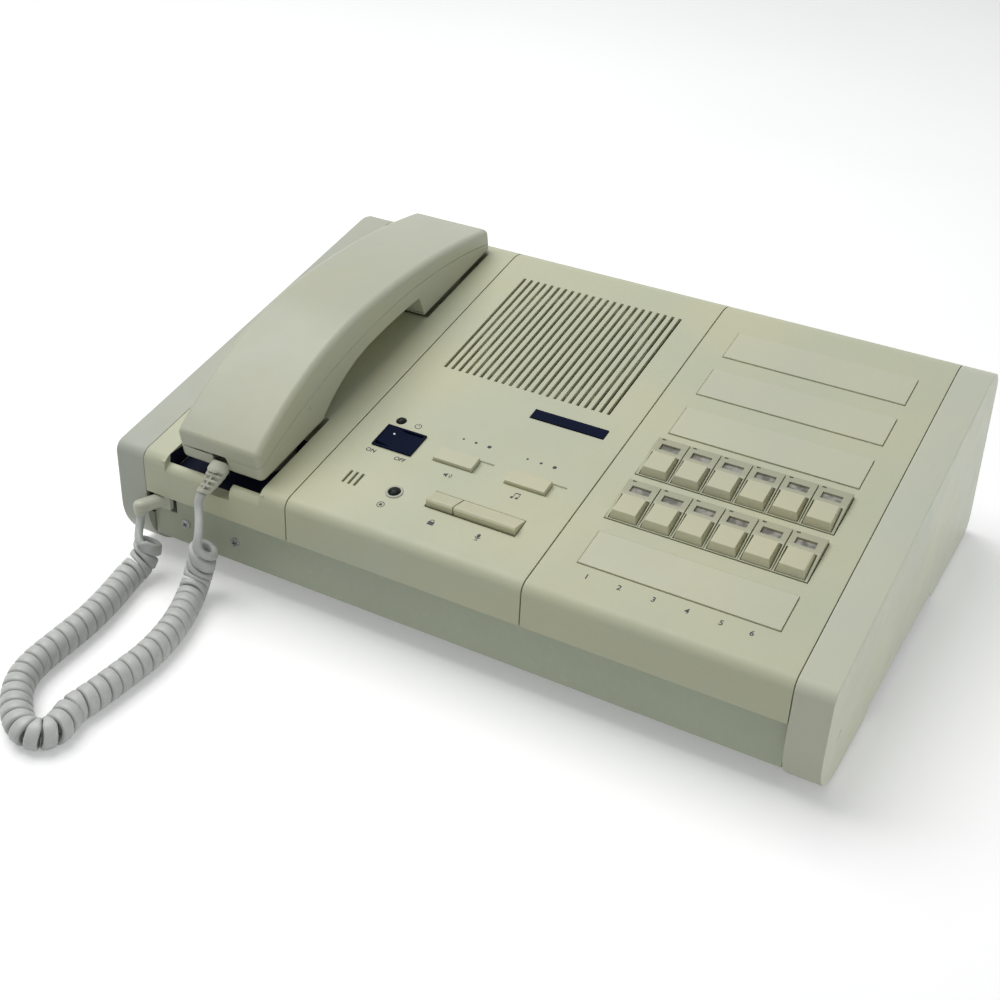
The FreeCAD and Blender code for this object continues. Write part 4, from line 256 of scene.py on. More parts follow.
def dark_lens(name, colour, gloss=0.12):
    """Tinted lamp dome with a dusty gloss."""
    material, tree, shader = new_material(name)
    where = place_node(tree)
    dust = noise(tree, where, 900.0, 5.0, 0.6)
    glow = noise(tree, where, 260.0, 2.0)
    base = ramp(tree, glow, [(0.4, shade(colour, 0.7)), (0.62, shade(colour, 1.5))])
    tree.links.new(base, shader.inputs["Base Color"])
    tree.links.new(spread(tree, dust, gloss, gloss + 0.2), shader.inputs["Roughness"])
    shader.inputs["Specular IOR Level"].default_value = 0.10
    add_bumps(tree, shader, [(dust, 0.05, 0.0001)])
    return material


def printed_ink(name, colour):
    """Screen-printed ink, slightly worn through."""
    material, tree, shader = new_material(name)
    where = place_node(tree)
    wear = noise(tree, where, 1400.0, 4.0, 0.6)
    base = ramp(tree, wear, [(0.45, shade(colour, 1.0)), (0.75, shade(colour, 2.4))])
    tree.links.new(base, shader.inputs["Base Color"])
    tree.links.new(spread(tree, wear, 0.45, 0.62), shader.inputs["Roughness"])
    return material


def board_laminate(name, colour):
    """Circuit board with lacquered copper runs."""
    material, tree, shader = new_material(name)
    where = place_node(tree)
    runs = tree.nodes.new("ShaderNodeTexBrick")
    runs.inputs["Scale"].default_value = 90.0
    runs.inputs["Mortar Size"].default_value = 0.05
    runs.inputs["Color1"].default_value = (*colour, 1)
    runs.inputs["Color2"].default_value = (*shade(colour, 1.35), 1)
    runs.inputs["Mortar"].default_value = (*shade(colour, 2.0), 1)
    tree.links.new(where, runs.inputs["Vector"])
    tree.links.new(runs.outputs["Color"], shader.inputs["Base Color"])
    tree.links.new(spread(tree, noise(tree, where, 500.0), 0.25, 0.4), shader.inputs["Roughness"])
    add_bumps(tree, shader, [(runs.outputs["Fac"], 0.2, 0.0001)])
    return material


def pressed_paper(name, colour):
    """Loudspeaker paper with visible fibres."""
    material, tree, shader = new_material(name)
    where = place_node(tree)
    fibres = noise(tree, where, 1100.0, 6.0, 0.75)
    base = ramp(tree, fibres, [(0.4, shade(colour, 0.7)), (0.62, shade(colour, 1.7))])
    tree.links.new(base, shader.inputs["Base Color"])
    shader.inputs["Roughness"].default_value = 0.9
    add_bumps(tree, shader, [(fibres, 0.4, 0.0003)])
    return material


CREAM = (0.55, 0.57, 0.42)
HANDSET_CREAM = (0.475, 0.495, 0.395)
KEY_CREAM = (0.58, 0.575, 0.415)
FRAME_CREAM = (0.42, 0.43, 0.31)
PLATE_CREAM = (0.575, 0.59, 0.455)
CAP_CREAM = (0.575, 0.60, 0.49)
# The cap plastic made darker for the left end cap: painted shade, as that end is lit less
LEFT_CAP_SHADED_CREAM = (0.455, 0.475, 0.41)
CHASSIS_OLIVE = (0.45, 0.49, 0.37)
CORD_WHITE = (0.56, 0.57, 0.55)
BOOT_CREAM = (0.57, 0.575, 0.47)
NAVY = (0.004, 0.008, 0.025)
BEZEL_GREY = (0.44, 0.46, 0.36)
WINDOW_GREY = (0.27, 0.265, 0.235)
LAMP_DARK = (0.006, 0.012, 0.010)
ZINC = (0.62, 0.64, 0.66)
# Colour of the sheet of painted shade in the cradle's front pit
PIT_PAINTED_SHADE = (0.010, 0.012, 0.030)
RUBBER = (0.03, 0.03, 0.03)
INNER_DARK = (0.035, 0.036, 0.034)
STEEL = (0.45, 0.45, 0.44)
CONE = (0.03, 0.028, 0.025)
BOARD_GREEN = (0.02, 0.11, 0.05)
INK = (0.012, 0.014, 0.02)
PAINT_WHITE = (0.72, 0.74, 0.72)
# Painted shade that stands for the cross recesses of the front screws
SCREW_RECESS_SHADE = (0.10, 0.105, 0.11)

MATERIALS = {
    "cover_plastic": moulded_plastic("cover_plastic", CREAM, 0.44),
    "cap_plastic": moulded_plastic("cap_plastic", CAP_CREAM, 0.42),
    # A darker copy of the cap plastic: painted shade on the left end cap
    "left_cap_painted_shade": moulded_plastic("left_cap_painted_shade", LEFT_CAP_SHADED_CREAM, 0.42),
    "handset_plastic": moulded_plastic("handset_plastic", HANDSET_CREAM, 0.32, 2200.0, 0.15),
    "key_cream": moulded_plastic("key_cream", KEY_CREAM, 0.34, 3000.0, 0.4),
    "frame_cream": moulded_plastic("frame_cream", FRAME_CREAM, 0.26, 3000.0, 0.6),
    "plate_cream": moulded_plastic("plate_cream", PLATE_CREAM, 0.38, 1800.0, 0.5),
    "chassis_olive": painted_steel("chassis_olive", CHASSIS_OLIVE),
    "cord_rubber": soft_vinyl("cord_rubber", CORD_WHITE),
    "boot_vinyl": soft_vinyl("boot_vinyl", BOOT_CREAM),
    "navy_plastic": moulded_plastic("navy_plastic", NAVY, 0.50, 2600.0, 0.5, 0.0, 0.03),
    "bezel_grey": moulded_plastic("bezel_grey", BEZEL_GREY, 0.40, 2600.0, 0.5, 0.0),
    "lamp_dark": dark_lens("lamp_dark", LAMP_DARK),
    "window_grey": dark_lens("window_grey", WINDOW_GREY, 0.45),
    "screw_metal": bare_metal("screw_metal", ZINC),
    # Painted shade for the cradle's front pit
    "pit_painted_shade": moulded_plastic("pit_painted_shade", PIT_PAINTED_SHADE, 0.7, 900.0, 0.5, 0.0, 0.1),
    "foot_rubber": moulded_plastic("foot_rubber", RUBBER, 0.75, 900.0, 0.5, 0.0),
    "inner_plastic": moulded_plastic("inner_plastic", INNER_DARK, 0.55, 2000.0, 0.5, 0.0),
    "speaker_steel": bare_metal("speaker_steel", STEEL, 0.4),
    "cone_paper": pressed_paper("cone_paper", CONE),
    "circuit_board": board_laminate("circuit_board", BOARD_GREEN),
    "ink": printed_ink("printed_ink", INK),
    "paint_white": printed_ink("paint_white", PAINT_WHITE),
    # Painted shade for the screws' cross recesses
    "screw_recess_shade": bare_metal("screw_recess_shade", SCREW_RECESS_SHADE, 0.5),
}

# Pieces whose finish in the photo differs from the slot that the record gives them
NODE_FINISH = {
    "cord_plug": "boot_vinyl",
    "handset_strain_relief": "boot_vinyl",
    "lamp_lenses": "window_grey",
    # The left end cap gets a darker copy of the cap plastic, which is painted shade
    "left_end_cap": "left_cap_painted_shade",
}


def dress_nodes():
    """Gives each CAD node its own finish, or else the one that its slot in the record names."""
    for row in frame["record"]["subparts"]:
        data = nodes[row["node"]].data
        data.materials.clear()
        data.materials.append(MATERIALS[NODE_FINISH.get(row["node"], row["material_slot"])])


dress_nodes()


# Floor, world and lights

FLOOR_HALF = 6.0
FLOOR_GLOW = 0.27
FLOOR_BOUNCE = (0.66, 0.67, 0.66)
PAPER_STOPS = [(0.4, (0.94, 0.94, 0.94)), (0.6, (0.96, 0.96, 0.96))]
WORLD_LEVEL = 0.285
WORLD_TINT = (0.95, 0.975, 1.0)

# Name, place, aimed at, width, height, watts and colour of each lamp
LAMPS = [
    ("overhead", (-0.7, 0.0, 1.6), (0, 0, 0), 1.5, 1.5, 22.3, (1.0, 0.995, 0.985)),
    ("right_card", (1.1, 0.05, 0.035), (0, 0.05, 0.035), 0.9, 0.06, 2.9, (1.0, 1.0, 1.0)),
    ("front_card", (0.35, -1.4, 0.12), (0.05, 0, 0.03), 0.6, 0.4, 0.95, (0.97, 1.0, 1.0)),
]


def seen_directly(tree):
    """1 for camera, glossy and transmission rays, 0 for light that bounces."""
    path = tree.nodes.new("ShaderNodeLightPath")
    first = tree.nodes.new("ShaderNodeMath")
    first.operation = "MAXIMUM"
    tree.links.new(path.outputs["Is Camera Ray"], first.inputs[0])
    tree.links.new(path.outputs["Is Glossy Ray"], first.inputs[1])
    second = tree.nodes.new("ShaderNodeMath")
    second.operation = "MAXIMUM"
    tree.links.new(first.outputs[0], second.inputs[0])
    tree.links.new(path.outputs["Is Transmission Ray"], second.inputs[1])
    return second.outputs[0]


def add_floor():
    """A pale sheet that looks white, keeps the shadow and throws back less light than it seems to."""
    material, tree, shader = new_material("paper_floor")
    where = place_node(tree)
    paper = ramp(tree, noise(tree, where, 3.0), PAPER_STOPS)
    seen = seen_directly(tree)
    base = mix(tree, seen, FLOOR_BOUNCE, paper)
    tree.links.new(base, shader.inputs["Base Color"])
    glow = tree.nodes.new("ShaderNodeMath")
    glow.operation = "MULTIPLY"
    glow.inputs[1].default_value = FLOOR_GLOW
    tree.links.new(seen, glow.inputs[0])
    tree.links.new(glow.outputs[0], shader.inputs["Emission Strength"])
    shader.inputs["Emission Color"].default_value = (1, 1, 1, 1)
    shader.inputs["Roughness"].default_value = 0.95
    shader.inputs["Specular IOR Level"].default_value = 0.1
    mesh = bpy.data.meshes.new("floor")
    corners = [(x * FLOOR_HALF, y * FLOOR_HALF, 0) for x, y in ((-1, -1), (1, -1), (1, 1), (-1, 1))]
    mesh.from_pydata(corners, [], [(0, 1, 2, 3)])
    mesh.materials.append(material)
    floor = bpy.data.objects.new("floor", mesh)
    bpy.context.scene.collection.objects.link(floor)


def add_world():
    world = bpy.data.worlds.new("studio")
    world.use_nodes = True
    bpy.context.scene.world = world
    tree = world.node_tree
    light = tree.nodes["Background"]
    light.inputs["Color"].default_value = (*WORLD_TINT, 1)
    light.inputs["Strength"].default_value = WORLD_LEVEL
    seen = tree.nodes.new("ShaderNodeBackground")
    seen.inputs["Color"].default_value = (1, 1, 1, 1)
    seen.inputs["Strength"].default_value = 1.0
    blend = tree.nodes.new("ShaderNodeMixShader")
    tree.links.new(seen_directly(tree), blend.inputs["Fac"])
    tree.links.new(light.outputs["Background"], blend.inputs[1])
    tree.links.new(seen.outputs["Background"], blend.inputs[2])
    tree.links.new(blend.outputs["Shader"], tree.nodes["World Output"].inputs["Surface"])


def add_lamp(name, place, target, width, height, power, colour):
    lamp = bpy.data.lights.new(name, "AREA")
    lamp.shape = "RECTANGLE"
    lamp.size = width
    lamp.size_y = height
    lamp.energy = power
    lamp.color = colour
    holder = bpy.data.objects.new(name, lamp)
    holder.location = place
    aim = Vector(target) - Vector(place)
    holder.rotation_euler = aim.to_track_quat("-Z", "Y").to_euler()
    bpy.context.scene.collection.objects.link(holder)


add_floor()
add_world()
for lamp_values in LAMPS:
    add_lamp(*lamp_values)
bpy.context.scene.view_settings.view_transform = "Standard"


# Curly cord: sizes and places are in millimetres

TAIL_WIRE = 4.0
RIBBON_WIDTH = 6.0
RIBBON_THICK = 2.8
CURL_OUTER = 14.0
CURL_PITCH = 6.4
CURL_SQUEEZE = 0.55
SQUEEZE_FROM = 0.3
LEAST_WIDTH = 2.2
TURN_FILL = 0.94
SECTION_ROUND = 0.94
RING_STEP = 0.9
START_TAIL = 11.0
TAIL_SWEEP = 3.5
END_TAIL = 22.2
SOFT_START = 2.2
SOFT_END = 4.8
RELIEF_LENGTH = 17.0
RELIEF_LEAN = 5.0
RELIEF_WIDER = 0.22
END_TILT = 0.42
TILT_SIDE = (0.875, 0.485, 0.0)
LAST_TURN_WAY = (0.15, -0.99, 0)
CORD_SWING = 20.0

# Each pair is where a change starts, or for a closing one where it is over, and its reach.
# They count along the cord from the plug, those with END in their name back from its far end.
# The flat ones are radians of winding, the last is shares of the relief's length.
SIDE_FADE = (8.0, 8.0)
WOUND_FADE = (3.0, 8.5)
WOUND_END_FADE = (6.0, 15.0)
TILT_FADE = (11.0, 5.0)
TILT_CLOSE = (34.0, 16.0)
TILT_END_CLOSE = (52.0, 20.0)
FLAT_FADE = (0.2, 1.8)
FLAT_END_FADE = (0.8, 2.6)
RELIEF_FADE = (0.1, 0.12)

COIL_AXIS = 7.15
CORD_ROUTE = [
    (19.64, -8.05, 32.9),
    (19.64, -8.05, 28.9),
    (24.9, -10.8, 22.5),
    (25.0, -11.3, 17.5),
    (24.6, -13.4, 12.4),
    (23.7, -18.4, 8.4),
    (23.6, -25.2, COIL_AXIS),
    (27.7, -40.6, COIL_AXIS),
    (30.2, -52.7, COIL_AXIS),
    (31.8, -64.0, COIL_AXIS),
    (32.6, -77.0, COIL_AXIS),
    (33.2, -90.0, COIL_AXIS),
    (34.0, -99.5, COIL_AXIS),
    (36.4, -108.5, COIL_AXIS),
    (40.8, -116.5, COIL_AXIS),
    (46.6, -123.0, COIL_AXIS),
    (52.2, -128.4, COIL_AXIS),
    (57.5, -132.2, COIL_AXIS),
    (63.5, -134.8, COIL_AXIS),
    (69.8, -133.8, COIL_AXIS),
    (73.4, -128.6, COIL_AXIS),
    (72.2, -121.3, COIL_AXIS),
    (70.2, -114.5, COIL_AXIS),
    (71.2, -106.5, COIL_AXIS),
    (72.0, -98.0, COIL_AXIS),
    (72.2, -89.5, COIL_AXIS),
    (72.5, -81.0, COIL_AXIS),
    (72.8, -72.0, COIL_AXIS),
    (72.0, -62.0, COIL_AXIS),
    (70.3, -52.0, COIL_AXIS),
    (67.6, -42.0, COIL_AXIS),
    (64.2, -32.5, COIL_AXIS),
    (60.5, -24.0, COIL_AXIS),
    (57.8, -16.6, 9.4),
    (57.2, -12.2, 14.6),
    (58.8, -11.2, 21.5),
    (60.0, -11.0, 28.0),
    (60.2, -11.0, 34.0),
    (61.5, -6.54, 51.66),
    (61.5, -4.36, 55.0),
]


def nurbs_line(name, points):
    """Points read off the smooth curve that has these places as its control points."""
    curve = bpy.data.curves.new(name, "CURVE")
    curve.dimensions = "3D"
    spline = curve.splines.new("NURBS")
    spline.points.add(len(points) - 1)
    for entry, point in zip(spline.points, points):
        entry.co = (*console_point(*point), 1)
    spline.order_u = 3
    spline.use_endpoint_u = True
    spline.resolution_u = 48
    holder = bpy.data.objects.new(name, curve)
    bpy.context.scene.collection.objects.link(holder)
    bpy.context.view_layer.update()
    mesh = bpy.data.meshes.new_from_object(holder)
    line = [vertex.co.copy() for vertex in mesh.vertices]
    bpy.data.objects.remove(holder)
    bpy.data.meshes.remove(mesh)
    return line


def even_line(line, step):
    """The same line with points at even distances."""
    lengths = [0.0]
    for a, b in zip(line, line[1:]):
        lengths.append(lengths[-1] + (b - a).length)
    count = max(int(round(lengths[-1] / step)), 2)
    result = []
    place = 0
    for i in range(count + 1):
        want = lengths[-1] * i / count
        while place < len(line) - 2 and lengths[place + 1] < want:
            place += 1
        span = lengths[place + 1] - lengths[place]
        share = (want - lengths[place]) / span if span > 0 else 0.0
        result.append(line[place].lerp(line[place + 1], share))
    return result, lengths[-1] / count


def smooth_step(value):
    value = min(max(value, 0.0), 1.0)
    return value * value * (3 - 2 * value)


def opening(value, start, reach):
    """0 up to the start and 1 a reach beyond it."""
    return smooth_step((value - start) / reach)


def closing(value, end, reach):
    """1 until a reach before the end and 0 from the end on."""
    return smooth_step((end - value) / reach)


def hermite(share, value, slope):
    """A smooth fall to nothing at 1 from a value and a slope at 0."""
    share = min(max(share, 0.0), 1.0)
    return value * (2 * share ** 3 - 3 * share ** 2 + 1) + slope * (share ** 3 - 2 * share ** 2 + share)


def wind_ribbon():
    """Middle of the ribbon, its way outwards from the coil's axis and its width and thickness."""
    axis, step = even_line(nurbs_line("cord_route", CORD_ROUTE), 0.1 * MM)
    count = len(axis)
    near = 3
    reach = 20
    ways = []
    for i in range(count):
        ways.append((axis[min(i + near, count - 1)] - axis[max(i - near, 0)]).normalized())
    helix = (CURL_OUTER - RIBBON_THICK) / 2 * MM
    start = START_TAIL * MM
    end = step * (count - 1) - END_TAIL * MM
    side = Vector((-1, 0, 0))
    sides, angles, spacings, bends = [], [], [], []
    angle = 0.0
    for i, way in enumerate(ways):
        side = (side - way * side.dot(way)).normalized()
        sides.append(side.copy())
        before, after = max(i - reach, 0), min(i + reach, count - 1)
        bend = (ways[after] - ways[before]) / (step * (after - before))
        local = CURL_PITCH * MM * (1 - CURL_SQUEEZE * max(helix * bend.length - SQUEEZE_FROM, 0.0))
        rate = 2 * math.pi / local
        inside = min(i * step - start, end - i * step)
        soft = (SOFT_START if i < count / 2 else SOFT_END) * MM
        if inside <= 0:
            rate = 0.0
        elif inside < soft:
            rate = min(rate, inside / math.sqrt(soft * soft - inside * inside) / helix)
        angle += rate * step
        angles.append(angle)
        spacings.append(local)
        bends.append(bend)
    forward = Vector(LAST_TURN_WAY)
    wanted = math.atan2(-forward.dot(ways[-1].cross(side)), forward.dot(side))
    turns = round((angle - wanted) / (2 * math.pi))
    stretch = (wanted + turns * 2 * math.pi) / angle
    ribbon = []
    tilt_side = Vector(TILT_SIDE)
    for i, way in enumerate(ways):
        turn = angles[i] * stretch
        along = i * step / MM
        left = (count - 1 - i) * step / MM
        base = Vector((-1, 0, 0)).lerp(sides[i], opening(along, *SIDE_FADE))
        base = (base - way * base.dot(way)).normalized()
        outward = base * math.cos(turn) - way.cross(base) * math.sin(turn)
        tilt = closing(along, *TILT_CLOSE) * opening(along, *TILT_FADE) - closing(left, *TILT_END_CLOSE)
        tilt *= END_TILT * helix * outward.dot(tilt_side)
        aside = hermite(left / CORD_SWING, RELIEF_LEAN, 2 * RELIEF_LEAN / RELIEF_LENGTH * CORD_SWING)
        wound = opening(along, *WOUND_FADE) * opening(left, *WOUND_END_FADE)
        flat = opening(turn, *FLAT_FADE) * opening(angles[-1] * stretch - turn, *FLAT_END_FADE)
        room = spacings[i] * (1 - bends[i].dot(outward) * CURL_OUTER / 2 * MM)
        width = max(min(RIBBON_WIDTH * MM, room * TURN_FILL), LEAST_WIDTH * MM)
        ribbon.append((
            axis[i] + (outward * helix + way * tilt) * wound - Vector((aside * MM, 0, 0)),
            outward,
            TAIL_WIRE * MM * (1 - flat) + width * flat,
            TAIL_WIRE * MM * (1 - flat) + RIBBON_THICK * MM * flat,
        ))
    ease_tail(ribbon, int((START_TAIL + TAIL_SWEEP) * MM / step), Vector((0, 0, -1)))
    return ribbon


def ease_tail(ribbon, last, way):
    """Makes one soft sweep of the ribbon's first entries, from a direction to the ribbon's own."""
    start = ribbon[0][0]
    end = ribbon[last][0]
    end_way = (ribbon[last + 2][0] - ribbon[last - 2][0]).normalized()
    reach = (end - start).length
    for i in range(last):
        s = i / last
        place = (
            start * (2 * s ** 3 - 3 * s ** 2 + 1) + way * reach * (s ** 3 - 2 * s ** 2 + s)
            + end * (3 * s ** 2 - 2 * s ** 3) + end_way * reach * (s ** 3 - s ** 2))
        ribbon[i] = (place, *ribbon[i][1:])


def ribbon_rings(ribbon, least):
    """Every entry of the ribbon that lies at least this far along from the one before."""
    kept = [ribbon[0]]
    gone = 0.0
    for before, entry in zip(ribbon, ribbon[1:]):
        gone += (entry[0] - before[0]).length
        if gone >= least:
            kept.append(entry)
            gone = 0.0
    if kept[-1] is not ribbon[-1]:
        kept[-1] = ribbon[-1]
    return kept


def rounded_outline(width, thick, corners):
    """A rounded flat section as (across, outward) pairs."""
    round_size = min(width, thick) / 2 * SECTION_ROUND
    outline = []
    for k in range(corners * 4):
        turn = 2 * math.pi * (k + 0.5) / (corners * 4)
        a = math.copysign(width / 2 - round_size, math.cos(turn)) + round_size * math.cos(turn)
        b = math.copysign(thick / 2 - round_size, math.sin(turn)) + round_size * math.sin(turn)
        outline.append((a, b))
    return outline


def ribbon_mesh(name, rings):
    """A closed tube with a rounded flat section that faces outwards from the coil."""
    verts = []
    faces = []
    corners = 4
    ring = corners * 4
    for i, (point, outward, width, thick) in enumerate(rings):
        way = (rings[min(i + 1, len(rings) - 1)][0] - rings[max(i - 1, 0)][0]).normalized()
        out = (outward - way * outward.dot(way)).normalized()
        across = way.cross(out)
        for a, b in rounded_outline(width, thick, corners):
            verts.append(point + across * a + out * b)
    for i in range(len(rings) - 1):
        for k in range(ring):
            after = (k + 1) % ring
            faces.append((i * ring + k, i * ring + after, (i + 1) * ring + after, (i + 1) * ring + k))
    faces.append(tuple(reversed(range(ring))))
    faces.append(tuple((len(rings) - 1) * ring + k for k in range(ring)))
    mesh = bpy.data.meshes.new(name)
    mesh.from_pydata(verts, [], faces)
    for polygon in mesh.polygons:
        polygon.use_smooth = True
    return mesh


def bend_relief():
    """The strain relief, pulled aside by its cord. It stands for the straight one."""
    tip = console_point(*CORD_ROUTE[-1])
    way = (console_point(*CORD_ROUTE[-2]) - tip).normalized()
    root = tip - way * RELIEF_LENGTH * MM
    data = nodes["handset_strain_relief"].data.copy()
    data.name = "strain_relief_bent"
    for vertex in data.vertices:
        share = max((vertex.co - root).dot(way) / (RELIEF_LENGTH * MM), 0.0)
        middle = root + way * share * RELIEF_LENGTH * MM
        vertex.co = middle + (vertex.co - middle) * (1 + RELIEF_WIDER * opening(share, *RELIEF_FADE))
        vertex.co.x -= RELIEF_LEAN * MM * share * share
    data.materials.clear()
    data.materials.append(MATERIALS["boot_vinyl"])
    piece = bpy.data.objects.new("strain_relief_bent", data)
    bpy.context.scene.collection.objects.link(piece)
    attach(piece, "handset")
    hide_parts("handset_strain_relief")
    return piece


def add_curly_cord():
    rings = ribbon_rings(wind_ribbon(), RING_STEP * MM)
    mesh = ribbon_mesh("curly_cord_jacket", rings)
    mesh.materials.append(MATERIALS["cord_rubber"])
    cord = bpy.data.objects.new("curly_cord_jacket", mesh)
    bpy.context.scene.collection.objects.link(cord)
    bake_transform(cord)
    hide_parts("curly_cord")
    return cord


relief = bend_relief()
add_curly_cord()


# Edges and shading of the carried-over pieces

CORNER_DEGREES = 34
FLAT_DEGREES = 0.4
WELD = 0.002


def corner_shading():
    """A node group that shades faces smooth and keeps the sharper corners crisp."""
    group = bpy.data.node_groups.new("corner_shading", "GeometryNodeTree")
    group.interface.new_socket("Geometry", in_out="INPUT", socket_type="NodeSocketGeometry")
    group.interface.new_socket("Geometry", in_out="OUTPUT", socket_type="NodeSocketGeometry")
    start = group.nodes.new("NodeGroupInput")
    end = group.nodes.new("NodeGroupOutput")
    plain = group.nodes.new("GeometryNodeRemoveAttribute")
    plain.inputs["Name"].default_value = "custom_normal"
    faces = group.nodes.new("GeometryNodeSetShadeSmooth")
    faces.domain = "FACE"
    edges = group.nodes.new("GeometryNodeSetShadeSmooth")
    edges.domain = "EDGE"
    edges.inputs["Shade Smooth"].default_value = False
    angle = group.nodes.new("GeometryNodeInputMeshEdgeAngle")
    steep = group.nodes.new("FunctionNodeCompare")
    steep.data_type = "FLOAT"
    steep.operation = "GREATER_THAN"
    steep.inputs["B"].default_value = math.radians(CORNER_DEGREES)
    links = group.links
    links.new(start.outputs[0], plain.inputs["Geometry"])
    links.new(plain.outputs["Geometry"], faces.inputs["Geometry"])
    links.new(faces.outputs["Geometry"], edges.inputs["Geometry"])
    links.new(angle.outputs["Unsigned Angle"], steep.inputs["A"])
    links.new(steep.outputs["Result"], edges.inputs["Selection"])
    links.new(edges.outputs["Geometry"], end.inputs[0])
    return group


CORNERS = corner_shading()

# Width of the rounded edges of each piece, in millimetres
EDGE_ROUND = {
    "chassis": 0.5,
    "left_end_cap": 0.7,
    "right_end_cap": 0.7,
    "cradle_cover": 0.2,
    "speaker_cover": 0.35,
    "selector_cover": 0.35,
    "badge_plate": 0.15,
    "name_plates": 0.15,
    "power_rocker": 0.3,
    "power_switch_body": 0.2,
    "busy_led_bezel": 0.25,
    "voice_key": 0.25,
    "tone_key": 0.25,
    "lock_key": 0.4,
    "talk_key": 0.4,
    "key_frame_1": 0.14,
    "key_frame_2": 0.14,
    "lamp_lenses": 0.12,
    "handset_upper_shell": 0.4,
    "handset_lower_shell": 0.6,
    "handset_jack": 0.25,
    "cord_plug": 0.3,
    "line_inlet_bush": 0.4,
    "feet": 0.5,
    "chassis_screws": 0.15,
    "hook_plunger": 0.2,
}
for number in range(1, 13):
    EDGE_ROUND["selector_key_%02d" % number] = 0.3


def round_edges(node, width):
    """Softens a piece's sharp edges without touching its own mesh."""
    weld = node.modifiers.new("weld", "WELD")
    weld.merge_threshold = WELD * MM
    flat = node.modifiers.new("flat_faces", "DECIMATE")
    flat.decimate_type = "DISSOLVE"
    flat.angle_limit = math.radians(FLAT_DEGREES)
    bevel = node.modifiers.new("edge_round", "BEVEL")
    bevel.width = width * MM
    bevel.segments = 2
    bevel.limit_method = "ANGLE"
    bevel.angle_limit = math.radians(CORNER_DEGREES)
    bevel.use_clamp_overlap = False
    shading = node.modifiers.new("corner_shading", "NODES")
    shading.node_group = CORNERS
    weights = node.modifiers.new("face_weights", "WEIGHTED_NORMAL")
    weights.keep_sharp = True


for piece_name, edge_width in EDGE_ROUND.items():
    round_edges(nodes[piece_name], edge_width)
relief_shading = relief.modifiers.new("corner_shading", "NODES")
relief_shading.node_group = CORNERS


# A dark sheet of painted shade in the cradle's front pit

SHADE_SHEET_LOW = (30.0, 3.2, -10.5)
SHADE_SHEET_HIGH = (86.5, 50.0, -4.4)
SHADE_SHEET_RISE = 0.06
FACING_DOWN = -0.2


def add_pit_shade_sheet():
    """Thin dark sheet of painted shade on the floor and the walls of the pit under the mouthpiece."""
    to_slope = slope_frame(0, 0, 0).inverted()
    sheet = bmesh.new()
    sheet.from_mesh(nodes["cradle_cover"].data)
    bmesh.ops.remove_doubles(sheet, verts=sheet.verts, dist=WELD * MM)
    cut = slope_point(0, SHADE_SHEET_HIGH[1], 0)
    along = (slope_point(0, 1, 0) - slope_point(0, 0, 0)).normalized()
    everything = list(sheet.verts) + list(sheet.edges) + list(sheet.faces)
    bmesh.ops.bisect_plane(sheet, geom=everything, plane_co=cut, plane_no=along)
    outside = []
    for face in sheet.faces:
        middle = to_slope @ face.calc_center_median() / MM
        limits = zip(SHADE_SHEET_LOW, middle, SHADE_SHEET_HIGH)
        facing_down = (to_slope.to_3x3() @ face.normal).z < FACING_DOWN
        if facing_down or not all(low < value < high for low, value, high in limits):
            outside.append(face)
    bmesh.ops.delete(sheet, geom=outside, context="FACES")
    sheet.normal_update()
    for vertex in list(sheet.verts):
        vertex.co += vertex.normal * SHADE_SHEET_RISE * MM
    data = bpy.data.meshes.new("pit_shade_sheet")
    sheet.to_mesh(data)
    sheet.free()
    data.materials.clear()
    data.materials.append(MATERIALS["pit_painted_shade"])
    shade_sheet = bpy.data.objects.new("pit_shade_sheet", data)
    bpy.context.scene.collection.objects.link(shade_sheet)
    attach(shade_sheet, "console")


add_pit_shade_sheet()


# Prints on the panels: numbers, ON and OFF, growing dots and plain signs

PRINT_RISE = 0.03
SIGN_SCALE = 1.2
WORD_WEIGHT = 0.022
BAND_STEPS = 14
DISC_CORNERS = 24


def arc(radius, start, end, steps, x=0.0, y=0.0):
    points = []
    for i in range(steps + 1):
        turn = math.radians(start + (end - start) * i / steps)
        points.append((x + radius * math.cos(turn), y + radius * math.sin(turn)))
    return points


def band(radius, width, start, end, x=0.0, y=0.0):
    """Part of a ring as one closed outline."""
    outer = arc(radius + width / 2, start, end, BAND_STEPS, x, y)
    inner = arc(radius - width / 2, end, start, BAND_STEPS, x, y)
    return outer + inner


def block(x, y, width, height):
    return [(x, y), (x + width, y), (x + width, y + height), (x, y + height)]


def disc(radius, x=0.0, y=0.0):
    return arc(radius, 0, 360 - 360 / DISC_CORNERS, DISC_CORNERS - 1, x, y)


POWER_SIGN = [band(1.35, 0.34, 118, 422), block(-0.17, 0.2, 0.34, 1.6)]
BUSY_SIGN = [disc(0.72), band(1.45, 0.34, 0, 175), band(1.45, 0.34, 180, 355)]
VOICE_SIGN = [
    [(-1.9, -0.5), (-1.2, -0.5), (-0.3, -1.3), (-0.3, 1.3), (-1.2, 0.5), (-1.9, 0.5)],
    band(0.75, 0.3, -52, 52),
    band(1.5, 0.3, -52, 52),
]
TONE_SIGN = [
    disc(0.6, -0.95, -1.0),
    disc(0.6, 1.05, -0.8),
    block(-0.62, -0.9, 0.28, 2.2),
    block(1.38, -0.7, 0.28, 2.2),
    [(-0.62, 1.35), (1.66, 1.55), (1.66, 2.05), (-0.62, 1.85)],
]
LOCK_SIGN = [block(-1.3, -1.5, 2.6, 1.9), band(0.78, 0.34, 0, 180, 0.0, 0.55)]
